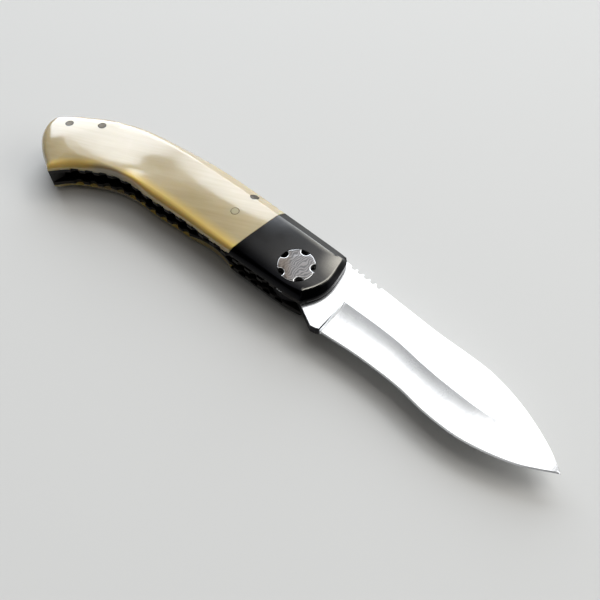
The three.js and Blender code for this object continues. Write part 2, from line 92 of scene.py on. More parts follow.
class Grain(Enum):
    """Which way a finish's fine lines run."""

    ALONG = (0.04, 1.0, 1.0)
    ACROSS = (1.0, 0.04, 1.0)
    NONE = (1.0, 1.0, 1.0)


@dataclass(frozen=True)
class Levels:
    """Heights of the knife's layers, in millimetres from the rest face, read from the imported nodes."""

    liner_low: float
    slot_low: float
    blade_low: float
    blade_high: float
    slot_high: float
    liner_high: float
    top: float

    @classmethod
    def from_frame(cls) -> "Levels":
        """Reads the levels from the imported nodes' boxes."""
        near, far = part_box("liner_right"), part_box("liner_left")
        blade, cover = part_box("blade"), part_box("bolster_right")
        heights = (far[0].z, far[1].z, blade[0].z, blade[1].z, near[0].z, near[1].z, cover[1].z)
        return cls(*(round(height / MM, 3) for height in heights))


LEVELS = Levels.from_frame()


def lerp(a: float, b: float, share: float) -> float:
    """Value at a share of the way from a to b."""
    return a + (b - a) * share


def smoothstep(value: np.ndarray | float, low: float, high: float) -> np.ndarray | float:
    """Smooth 0 to 1 as value goes from low to high."""
    share = np.clip((value - low) / (high - low), 0, 1)
    return share * share * (3 - 2 * share)


def turned_about(point: Sequence[float], degrees: float) -> np.ndarray:
    """A plan point turned about the pivot."""
    c, s = math.cos(math.radians(degrees)), math.sin(math.radians(degrees))
    return np.array([c * point[0] - s * point[1], s * point[0] + c * point[1]])


def polar(radius: float, degrees: float) -> np.ndarray:
    """A plan point at a distance and an angle from the pivot."""
    return turned_about((radius, 0), degrees)


def arc(centre: Sequence[float], radius: float, start: float, end: float, steps: int) -> np.ndarray:
    """Points of an arc.

    Args:
        centre: Plan place of its centre.
        radius: Its radius.
        start: First angle in degrees.
        end: Last angle in degrees.
        steps: How many chords it has.

    Returns:
        The points, both ends among them.
    """
    angles = np.radians(np.linspace(start, end, steps + 1))
    return np.stack([centre[0] + radius * np.cos(angles), centre[1] + radius * np.sin(angles)], 1)


def smooth(points: Rows, spacing: float) -> np.ndarray:
    """Evenly spaced points on a centripetal curve through the given ones.

    Args:
        points: The rows that the curve passes through, all of one length.
        spacing: Distance between the made points.

    Returns:
        The made points, with as many columns as the given ones.
    """
    given = np.array(points, float)
    ends = [2 * given[0] - given[1], *given, 2 * given[-1] - given[-2]]
    fine = [given[0]]
    share = np.linspace(0, 1, 41)[1:, None]
    for p0, p1, p2, p3 in zip(ends, ends[1:], ends[2:], ends[3:]):
        d0, d1, d2 = (math.sqrt(np.linalg.norm(b - a)) for a, b in ((p0, p1), (p1, p2), (p2, p3)))
        m1 = d1 * ((p1 - p0) / d0 - (p2 - p0) / (d0 + d1) + (p2 - p1) / d1)
        m2 = d1 * ((p2 - p1) / d1 - (p3 - p1) / (d1 + d2) + (p3 - p2) / d2)
        fine.extend(
            (2 * share**3 - 3 * share**2 + 1) * p1
            + (share**3 - 2 * share**2 + share) * m1
            + (3 * share**2 - 2 * share**3) * p2
            + (share**3 - share**2) * m2
        )
    curve = np.array(fine)
    walked = lengths_along(curve)
    stations = np.linspace(0, walked[-1], max(2, round(walked[-1] / spacing)) + 1)
    return np.stack([np.interp(stations, walked, column) for column in curve.T], 1)


def lengths_along(points: np.ndarray) -> np.ndarray:
    """Length of the way to each point of a line, in plan."""
    steps = np.hypot(*np.diff(points[:, :2], axis=0).T)
    return np.concatenate([[0], np.cumsum(steps)])


def height_of(line: np.ndarray, x: np.ndarray | float) -> np.ndarray | float:
    """Height y of a line at x, whichever way the line runs."""
    order = np.argsort(line[:, 0])
    return np.interp(x, line[order, 0], line[order, 1])


def new_object(name: str, data: bpy.types.ID) -> Thing:
    """Puts a mesh, camera or light in the scene as an object at the origin."""
    made = bpy.data.objects.new(name, data)
    bpy.context.scene.collection.objects.link(made)
    return made


def from_bmesh(name: str, draft: Draft) -> Thing:
    """Makes an object from a draft in millimetres.

    Args:
        name: Name of the object and its mesh.
        draft: The draft, which is freed.

    Returns:
        The object, in metres, with its faces pointing out.
    """
    bmesh.ops.recalc_face_normals(draft, faces=draft.faces)
    draft.transform(Matrix.Scale(MM, 4))
    mesh = bpy.data.meshes.new(name)
    draft.to_mesh(mesh)
    draft.free()
    return new_object(name, mesh)


def extruded(outline: np.ndarray, low: float, high: float, chamfer: float = 0.0) -> Draft:
    """Draft of a plate with a closed plan outline.

    Args:
        outline: Plan points of the outline.
        low: Lower level.
        high: Upper level.
        chamfer: Width of the chamfer round its top and bottom.

    Returns:
        The draft.
    """
    draft = bmesh.new()
    floor = draft.faces.new([draft.verts.new((x, y, low)) for x, y in outline])
    grown = bmesh.ops.extrude_face_region(draft, geom=[floor])
    raised = [item for item in grown["geom"] if isinstance(item, bmesh.types.BMVert)]
    bmesh.ops.translate(draft, verts=raised, vec=(0, 0, high - low))
    if chamfer:
        flat = [e for e in draft.edges if abs(e.verts[0].co.z - e.verts[1].co.z) < (high - low) / 2]
        bmesh.ops.bevel(draft, geom=flat, offset=chamfer, segments=2, profile=0.5, affect="EDGES")
    return draft


def turned(profile: Rows, centre: Sequence[float], sides: int = 96) -> Draft:
    """Draft of a turned piece on an upright axis.

    Args:
        profile: Pairs of radius and level. A profile that leaves the axis out is a ring.
        centre: Plan place of the axis.
        sides: Facets round the axis.

    Returns:
        The draft.
    """
    draft = bmesh.new()
    ring = profile[0][0] > 0
    corners = [draft.verts.new((radius, 0, level)) for radius, level in profile]
    loop = list(zip(corners, corners[1:])) + ([(corners[-1], corners[0])] if ring else [])
    edges = [draft.edges.new(pair) for pair in loop]
    bmesh.ops.spin(
        draft, geom=corners + edges, cent=(0, 0, 0), axis=(0, 0, 1), angle=math.tau, steps=sides
    )
    bmesh.ops.remove_doubles(draft, verts=draft.verts, dist=1e-4)
    bmesh.ops.translate(draft, verts=draft.verts, vec=(*centre, 0))
    return draft


def lofted(rings: np.ndarray) -> Draft:
    """Draft of a solid through closed rings of equally many points, with flat ends."""
    draft = bmesh.new()
    corners = [[draft.verts.new(point) for point in ring] for ring in rings]
    for low, high in zip(corners, corners[1:]):
        for a, b, c, d in zip(low, low[1:] + low[:1], high[1:] + high[:1], high):
            draft.faces.new((a, b, c, d))
    draft.faces.new(corners[0])
    draft.faces.new(corners[-1])
    return draft


def carve(target: Thing, cutter: Thing, operation: str = "DIFFERENCE") -> None:
    """Cuts one object with another, which is then removed.

    Args:
        target: The object that is cut. Its modifiers are applied too.
        cutter: The cutting body.
        operation: How the two are combined.
    """
    modifier = target.modifiers.new("carve", "BOOLEAN")
    modifier.operation, modifier.object, modifier.solver = operation, cutter, "EXACT"
    settle(target)
    discard(cutter)


def settle(target: Thing) -> None:
    """Turns an object's modifiers into a plain mesh."""
    evaluated = target.evaluated_get(bpy.context.evaluated_depsgraph_get())
    mesh = bpy.data.meshes.new_from_object(evaluated)
    target.modifiers.clear()
    old, target.data = target.data, mesh
    name = old.name
    bpy.data.meshes.remove(old)
    mesh.name = name


def discard(item: Thing) -> None:
    """Removes a helper object and its data."""
    data = item.data
    bpy.data.objects.remove(item)
    if isinstance(data, bpy.types.Mesh):
        bpy.data.meshes.remove(data)
    else:
        bpy.data.curves.remove(data)


def cylinder(
    centre: Sequence[float], radius: float, low: float, high: float, sides: int = 96
) -> Draft:
    """Draft of an upright cylinder."""
    return turned(((0, low), (radius, low), (radius, high), (0, high)), centre, sides)


def edged(bore: float, outer: float, low: float, high: float, edge: float) -> Rows:
    """Profile of a turned pin or ring whose outer edges are broken."""
    sides = ((outer - edge, low), (outer, low + edge), (outer, high - edge), (outer - edge, high))
    return ((bore, low), *sides, (bore, high))


@contextmanager
def edited(target: Thing) -> Iterator[Draft]:
    """Opens an object's mesh as a draft, and puts the draft back afterwards."""
    draft = bmesh.new()
    draft.from_mesh(target.data)
    yield draft
    draft.to_mesh(target.data)
    draft.free()


def shade(target: Thing, degrees: float = 30.0) -> None:
    """Shades an object smooth, but for the edges that turn by more than an angle."""
    limit = math.radians(degrees)
    with edited(target) as draft:
        for edge in draft.edges:
            edge.smooth = not edge.is_manifold or edge.calc_face_angle(0) < limit
    target.data.shade_smooth()


def dress(
    target: Thing,
    materials: Sequence[bpy.types.Material],
    body: str,
    nodes: Iterable[str],
) -> Thing:
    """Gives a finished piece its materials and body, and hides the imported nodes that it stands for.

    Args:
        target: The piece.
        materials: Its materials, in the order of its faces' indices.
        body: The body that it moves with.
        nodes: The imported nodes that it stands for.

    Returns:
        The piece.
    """
    mesh = target.data
    indices = np.zeros(len(mesh.polygons), np.int32)
    mesh.polygons.foreach_get("material_index", indices)
    mesh.materials.clear()
    for material in materials:
        mesh.materials.append(material)
    mesh.polygons.foreach_set("material_index", np.minimum(indices, len(materials) - 1))
    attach(target, body)
    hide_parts(*nodes)
    LOG.info("%s: %d faces, for %s", target.name, len(mesh.polygons), ", ".join(nodes))
    return target


def joined(drafts: Iterable[Draft]) -> Draft:
    """One draft that holds the bodies of several, which are freed."""
    whole = bmesh.new()
    scratch = bpy.data.meshes.new("scratch")
    for draft in drafts:
        draft.to_mesh(scratch)
        draft.free()
        whole.from_mesh(scratch)
    bpy.data.meshes.remove(scratch)
    return whole


def soften(target: Thing, width: float, least_turn: float = 35.0, free: bool = False) -> None:
    """Breaks an object's sharp edges, after the slivers of its flat faces are merged.

    Args:
        target: The object.
        width: Width of the broken edge in millimetres.
        least_turn: Degrees by which an edge turns for it to count as sharp.
        free: Whether short edges beside it don't limit the width.
    """
    flat = math.radians(FLAT_TURN)
    with edited(target) as draft:
        bmesh.ops.dissolve_limit(draft, angle_limit=flat, verts=draft.verts, edges=draft.edges)
    modifier = target.modifiers.new("soften", "BEVEL")
    modifier.use_clamp_overlap = not free
    modifier.width, modifier.segments = width * MM, 2
    modifier.limit_method, modifier.angle_limit = "ANGLE", math.radians(least_turn)
    modifier.harden_normals = False
    settle(target)
    with edited(target) as draft:
        bmesh.ops.remove_doubles(draft, verts=draft.verts, dist=MERGED * MM)
        bmesh.ops.triangulate(draft, faces=draft.faces, ngon_method="BEAUTY")


def weigh_normals(target: Thing, degrees: float = 30.0) -> None:
    """Shades an object smooth by its broad faces, and sharp where it turns by more than an angle."""
    shade(target, degrees)
    modifier = target.modifiers.new("normals", "WEIGHTED_NORMAL")
    modifier.weight, modifier.keep_sharp = 100, True
    settle(target)


def srgb(code: str) -> tuple[float, float, float, float]:
    """Linear colour from an sRGB hex value such as "c0ffee"."""
    parts = [int(code[i : i + 2], 16) / 255 for i in (0, 2, 4)]
    linear = [part / 12.92 if part <= 0.04045 else ((part + 0.055) / 1.055) ** 2.4 for part in parts]
    return (*linear, 1.0)


def feed(tree: Tree, node: bpy.types.Node, links: dict) -> None:
    """Links a socket to each given input of a node, by name or number, or sets its value."""
    for key, value in links.items():
        if isinstance(value, Socket):
            tree.links.new(value, node.inputs[key])
        else:
            node.inputs[key].default_value = value


def add(tree: Tree, kind: str, links: dict | None = None, **settings) -> bpy.types.Node:
    """Adds a node to a tree.

    Args:
        tree: The tree.
        kind: The node's type name.
        links: For each input, by name or number, a socket to link or a value to set.
        settings: Properties of the node.

    Returns:
        The node.
    """
    made = tree.nodes.new(kind)
    for name, value in settings.items():
        setattr(made, name, value)
    feed(tree, made, links or {})
    return made


def noise(tree: Tree, place: Socket, size: float, output: str = "Fac", **values: float) -> Socket:
    """Noise whose patches have about a size in millimetres."""
    links = {"Vector": place, "Scale": 1 / (size * MM), **values}
    return add(tree, "ShaderNodeTexNoise", links).outputs[output]


def mapped(tree: Tree, place: Socket, **values: Row) -> Socket:
    """A place, scaled or turned before a pattern reads it."""
    return add(tree, "ShaderNodeMapping", {"Vector": place, **values}).outputs["Vector"]


def remap(
    tree: Tree, value: Socket, given: Row = (0.0, 1.0), made: Row = (0.0, 1.0), kind: str = "LINEAR"
) -> Socket:
    """A value carried from one range to another, and kept within it."""
    links = {"Value": value, "From Min": given[0], "From Max": given[1], "To Min": made[0], "To Max": made[1]}
    return add(tree, "ShaderNodeMapRange", links, interpolation_type=kind).outputs["Result"]


def mix(tree: Tree, share: Socket, under: Socket | str, over: Socket | str) -> Socket:
    """Colour between two others, each a socket or an sRGB code."""
    first, second = (srgb(colour) if isinstance(colour, str) else colour for colour in (under, over))
    links = {"Factor": share, 6: first, 7: second}
    return add(tree, "ShaderNodeMix", links, data_type="RGBA").outputs[2]


def bump(tree: Tree, height: Socket, depth: float, strength: float) -> Socket:
    """Normal of a surface on which a pattern stands up by a depth in millimetres."""
    links = {"Height": height, "Distance": depth * MM, "Strength": strength}
    return add(tree, "ShaderNodeBump", links).outputs["Normal"]


class Finish:
    """A material with its node tree, made once."""

    RIM_SPAN = (0.72, 0.92)  # of the rim's radius, where its colour begins and is whole

    name: str
    # Painted light laid over the finish: a colour along the belly and one round the rim.
    belly: str = ""
    rim: str = ""
    rim_radius: float = 0.0

    def material(self) -> bpy.types.Material:
        """The finish's material, made when it is first asked for."""
        known = bpy.data.materials.get(self.name)
        if known:
            return known
        made = bpy.data.materials.new(self.name)
        made.use_nodes = True
        tree = made.node_tree
        tree.nodes.clear()
        shader = add(tree, "ShaderNodeBsdfPrincipled")
        add(tree, "ShaderNodeOutputMaterial", {"Surface": shader.outputs["BSDF"]})
        feed(tree, shader, self.paint(tree, add(tree, "ShaderNodeTexCoord").outputs["Object"]))
        return made

    def painted_light(self, tree: Tree, colour: Socket) -> Socket:
        """Lays the painted light of the belly and of the rim over another colour: painted shade, glow and
        highlight.

        Args:
            tree: The material's tree.
            colour: The colour elsewhere.

        Returns:
            The colour with both. Attributes place them, or the way from a round piece's centre does.
        """
        for name, over in (("belly", self.belly), ("rim", self.rim)):
            if not over:
                continue
            if name == "rim" and self.rim_radius:
                away = add(tree, "ShaderNodeAttribute", attribute_name="offset").outputs["Vector"]
                length = add(tree, "ShaderNodeVectorMath", {0: away}, operation="LENGTH").outputs["Value"]
                share = remap(tree, length, tuple(part * self.rim_radius for part in self.RIM_SPAN))
            else:
                share = add(tree, "ShaderNodeAttribute", attribute_name=name).outputs["Fac"]
            colour = mix(tree, share, colour, over)
        return colour

    def paint(self, tree: Tree, place: Socket) -> dict:
        """Draws the finish's patterns.

        Args:
            tree: The material's tree.
            place: The object coordinates.

        Returns:
            For each of the shader's inputs that the finish sets, a socket or a value.
        """
        raise NotImplementedError


@dataclass(frozen=True)
class Metal(Finish):
    """A metal finished with abrasive lines, duller in soft patches."""

    SPAN = (0.6, 1.4)  # of the lines and patches together, from the bright colour to the dull

    name: str
    colour: str
    dull: str
    roughness: float
    spread: float = 0.06
    grain: Grain = Grain.NONE
    line: float = 0.3
    depth: float = 0.002
    patch: float = 7.0
    rim: str = ""
    rim_radius: float = 0.0
    belly: str = ""

    def paint(self, tree: Tree, place: Socket) -> dict:
        """Draws the lines and patches, with sizes in millimetres."""
        lines = noise(tree, mapped(tree, place, Scale=self.grain.value), self.line, Detail=3.0, Roughness=0.6)
        patches = noise(tree, place, self.patch, Detail=2.0)
        both = add(tree, "ShaderNodeMath", {0: lines, 1: patches}, operation="ADD").outputs[0]
        shares = remap(tree, both, self.SPAN)
        return {
            "Metallic": 1.0,
            "Base Color": self.painted_light(tree, mix(tree, shares, self.colour, self.dull)),
            "Roughness": remap(
                tree, shares, made=(self.roughness - self.spread, self.roughness + self.spread)
            ),
            "Normal": bump(tree, lines, self.depth, 1.0),
        }


@dataclass(frozen=True)
class EtchedPattern(Finish):
    """Layered steel, etched so that its wavy layers show as grey lines."""

    BAND_SCALE = 0.31  # of the wave texture, for bands one unit apart

    name: str = "Etched pattern-welded steel"
    bright: str = "74716f"
    dark: str = "575554"
    # A brown painted shade over the side of the head towards the belly:
    painted_shade: str = "5d534a"
    painted_shade_side: tuple[float, float] = (0.76, 0.65)
    painted_shade_span: tuple[float, float] = (-0.9, -3.4)
    painted_shade_share: float = 0.75
    layer: float = 0.85
    turn: float = -82.0
    swirl: float = 3.4
    bend: float = 3.5
    distortion: float = 7.0
    contrast: tuple[float, float] = (0.3, 0.75)
    depth: float = 0.02
    roughness: float = 0.28
    etched_roughness: float = 0.43
    # Near-white painted highlight on the head's broken edges.
    rim: str = "f2f1ee"
    rim_radius: float = 0.0

    def paint(self, tree: Tree, place: Socket) -> dict:
        """Draws the layers as bent bands, the etched ones lower and rougher."""
        across = mapped(tree, place, Rotation=(0, 0, math.radians(self.turn)))
        push = {0: noise(tree, across, self.swirl, "Color", Detail=1.0), 1: (self.bend * MM,) * 3, 2: across}
        bands = {
            "Vector": add(tree, "ShaderNodeVectorMath", push, operation="MULTIPLY_ADD").outputs["Vector"],
            "Scale": self.BAND_SCALE / (self.layer * MM),
            "Distortion": self.distortion,
            "Detail": 4.0,
            "Detail Scale": 0.9,
        }
        layers = add(tree, "ShaderNodeTexWave", bands, wave_type="BANDS", bands_direction="Y").outputs["Fac"]
        etched = remap(tree, layers, self.contrast)
        # A brown painted shade darkens the side of the head that faces the handle's belly, which reflects
        # less light.
        side = {0: place, 1: (*self.painted_shade_side, 0)}
        aside = add(tree, "ShaderNodeVectorMath", side, operation="DOT_PRODUCT").outputs["Value"]
        begins, whole = self.painted_shade_span
        painted_shading = remap(tree, aside, (begins * MM, whole * MM), (0.0, self.painted_shade_share), "SMOOTHSTEP")
        colour = mix(tree, painted_shading, mix(tree, etched, self.dark, self.bright), self.painted_shade)
        return {
            "Metallic": 1.0,
            "Base Color": self.painted_light(tree, colour),
            "Roughness": remap(tree, etched, made=(self.etched_roughness, self.roughness)),
            "Normal": bump(tree, etched, self.depth, 0.7),
        }


@dataclass(frozen=True)
class Ivory(Finish):
    """Polished ivory-like plate: cream, with fine lengthwise grain and an amber painted glow along its lower
    edge.
    """

    STRETCH = (0.05, 1.0, 1.0)
    SPAN = (0.65, 1.35)  # of the grain and clouds together, from the cream to its shade

    name: str = "Polished ivory"
    cream: str = "c1b08b"
    shade_of: str = "b09e76"
    # Amber painted glow along the belly's edge, for light that shines through the thin ivory.
    belly: str = "e4c46e"
    grain: float = 1.1
    roughness: float = 0.16
    slant: float = 24.0
    rim: str = ""
    rim_radius: float = 0.0
    bleed: float = 0.6
    bleed_depth: float = 2.5
    cloud: float = 16.0
    depth: float = 0.01

    def paint(self, tree: Tree, place: Socket) -> dict:
        """Draws the grain and clouds, and lays the belly's amber painted glow over them."""
        level = mapped(tree, place, Rotation=(0, 0, math.radians(-self.slant)))
        grain = noise(tree, mapped(tree, level, Scale=self.STRETCH), self.grain, Detail=4.0, Roughness=0.6)
        clouds = noise(tree, place, self.cloud, Detail=2.0)
        both = add(tree, "ShaderNodeMath", {0: grain, 1: clouds}, operation="ADD").outputs[0]
        body = mix(tree, remap(tree, both, self.SPAN), self.cream, self.shade_of)
        return {
            "IOR": 1.58,
            "Coat Weight": 1.0,
            "Coat Roughness": 0.08,
            "Subsurface Weight": self.bleed,
            "Subsurface Radius": (1.0, 0.6, 0.25),
            "Subsurface Scale": self.bleed_depth * MM,
            "Base Color": self.painted_light(tree, body),
            "Roughness": remap(tree, grain, made=(self.roughness - 0.04, self.roughness + 0.06)),
            "Normal": bump(tree, grain, self.depth, 0.5),
        }


@dataclass(frozen=True)
class Fibre(Finish):
    """Black fibre sheet, faintly mottled by its weave."""

    name: str = "Black fibre sheet"
    colour: str = "161513"
    light: str = "2b2a27"
    weave: float = 0.5
    depth: float = 0.02

    def paint(self, tree: Tree, place: Socket) -> dict:
        """Draws the flecks of the sheet's weave."""
        flecks = noise(tree, place, self.weave, Detail=3.0)
        return {
            "Roughness": 0.55,
            "Base Color": mix(tree, flecks, self.colour, self.light),
            "Normal": bump(tree, flecks, self.depth, 0.6),
        }


# Satin-polished stainless steel: bright, with fine lines drawn across the blade.
BLADE_STEEL = Metal(
    "Satin stainless blade steel", "e4e5e6", "cfd1d3", 0.24, 0.05, Grain.ACROSS, 0.28, 0.0015
)
# Darkened tool steel rubbed lengthwise: charcoal with a satin sheen, a painted highlight along the flat's
# edge and painted shade on its bevels and towards the belly.
BOLSTER_STEEL = Metal(
    "Charcoal blackened bolster steel", "41403f", "2f2f2f", 0.19, 0.05, Grain.ALONG, 0.25, 0.001,
    rim="b4b0a6", belly="0e0e10"
)
# Blackened spring steel: near black, a little brighter where it is rubbed.
LINER_STEEL = Metal(
    "Blackened spring steel liner", "383634", "232221", 0.42, 0.08, Grain.ALONG, 0.3, 0.003
)
# Turned stainless steel of the small fittings: clean and bright.
FITTING_STEEL = Metal("Turned stainless fitting steel", "c2c3c4", "a5a6a7", 0.28, 0.05, Grain.NONE, 0.3)
# Browned steel of the through pins: dull grey-brown, with a darker rim of painted shade in the gap round each
# pin.
BROWNED_PIN = Metal(
    "Browned pin steel", "5d564c", "4a443a", 0.4, 0.06, Grain.NONE, 0.5, rim="2e2a22", rim_radius=1.45
)
# Bearing bronze of the washers: warm and smooth.
BEARING_BRONZE = Metal("Bearing bronze", "b98d54", "96703d", 0.36, 0.05, Grain.NONE, 0.4)
PATTERN_STEEL = EtchedPattern()
IVORY = Ivory()
# The short pins are turned from the scale's own material, a shade greyer, with a darker rim of painted shade.
IVORY_PIN = Ivory(
    "Polished ivory pin", "b4a883", "a89b76", "", 0.8, 0.2, rim="79673f", rim_radius=1.45
)
# Painted shade on the edges of the tang and the ricasso: dark grey.
TANG_SHADE = Metal("Hardening scale on the tang's edges", "3a3a3c", "27272a", 0.5, 0.08, Grain.NONE, 0.5)
BLACK_FIBRE = Fibre()


@dataclass
class Repeat:
    """Copies of one piece at even steps along a path, made by Geometry Nodes."""

    path: np.ndarray
    first: float
    pitch: float
    count: int
    out: float = 0.0

    TREE = "Repeat along a path"

    @classmethod
    def tree(cls) -> Tree:
        """The node tree, built when it is first asked for.

        Returns:
            A tree that trims the path, spaces the copies on it, and moves each outwards.
        """
        known = bpy.data.node_groups.get(cls.TREE)
        if known:
            return known
        tree = bpy.data.node_groups.new(cls.TREE, "GeometryNodeTree")
        sockets = {
            "Path": "NodeSocketGeometry",
            "First": "NodeSocketFloat",
            "Pitch": "NodeSocketFloat",
            "Count": "NodeSocketInt",
            "Out": "NodeSocketFloat",
            "Piece": "NodeSocketObject",
            "Material": "NodeSocketMaterial",
        }
        for name, kind in sockets.items():
            tree.interface.new_socket(name, in_out="INPUT", socket_type=kind)
        tree.interface.new_socket("Copies", in_out="OUTPUT", socket_type="NodeSocketGeometry")
        given = add(tree, "NodeGroupInput").outputs
        less = add(tree, "ShaderNodeMath", {0: given["Count"], 1: 1.0}, operation="SUBTRACT").outputs[0]
        end = add(
            tree, "ShaderNodeMath", {0: less, 1: given["Pitch"], 2: given["First"]}, operation="MULTIPLY_ADD"
        ).outputs[0]
        curve = add(tree, "GeometryNodeMeshToCurve", {"Mesh": given["Path"]}).outputs["Curve"]
        trimmed = add(
            tree, "GeometryNodeTrimCurve", {"Curve": curve, 4: given["First"], 5: end}, mode="LENGTH"
        ).outputs["Curve"]
        stations = add(
            tree, "GeometryNodeResampleCurve", {"Curve": trimmed, "Count": given["Count"]}
        ).outputs["Curve"]
        spots = add(tree, "GeometryNodeCurveToPoints", {"Curve": stations}, mode="EVALUATED").outputs
        side = add(
            tree, "ShaderNodeVectorMath", {0: spots["Tangent"], 1: (0, 0, 1)}, operation="CROSS_PRODUCT"
        ).outputs["Vector"]
        shift = add(
            tree, "ShaderNodeVectorMath", {0: side, "Scale": given["Out"]}, operation="SCALE"
        ).outputs["Vector"]
        moved = add(
            tree, "GeometryNodeSetPosition", {"Geometry": spots["Points"], "Offset": shift}
        ).outputs["Geometry"]
        piece = add(tree, "GeometryNodeObjectInfo", {"Object": given["Piece"]}).outputs["Geometry"]
        copies = add(
            tree, "GeometryNodeInstanceOnPoints", {"Points": moved, "Instance": piece}
        ).outputs["Instances"]
        real = add(tree, "GeometryNodeRealizeInstances", {"Geometry": copies}).outputs["Geometry"]
        dressed = add(
            tree, "GeometryNodeSetMaterial", {"Geometry": real, "Material": given["Material"]}
        ).outputs["Geometry"]
        add(tree, "NodeGroupOutput", {"Copies": dressed})
        return tree

    def of(self, name: str, piece: Draft, finish: Finish) -> Thing:
        """Makes the copies.

        Args:
            name: Name of the made object.
            piece: Draft of one copy, standing on the Z axis, which is freed.
            finish: Its finish.

        Returns:
            One object that holds every copy.
        """
        line = bpy.data.meshes.new(name)
        points = [(x * MM, y * MM, 0) for x, y in self.path[:, :2]]
        line.from_pydata(points, [(i, i + 1) for i in range(len(points) - 1)], [])
        made = new_object(name, line)
        single = from_bmesh(name + "_single", piece)
        modifier = made.modifiers.new("repeat", "NODES")
        modifier.node_group = self.tree()
        values = {
            "First": self.first * MM,
            "Pitch": self.pitch * MM,
            "Count": self.count,
            "Out": self.out * MM,
            "Piece": single,
            "Material": finish.material(),
        }
        for item in modifier.node_group.interface.items_tree:
            if item.name in values:
                modifier[item.identifier] = values[item.name]
        settle(made)
        discard(single)
        return made


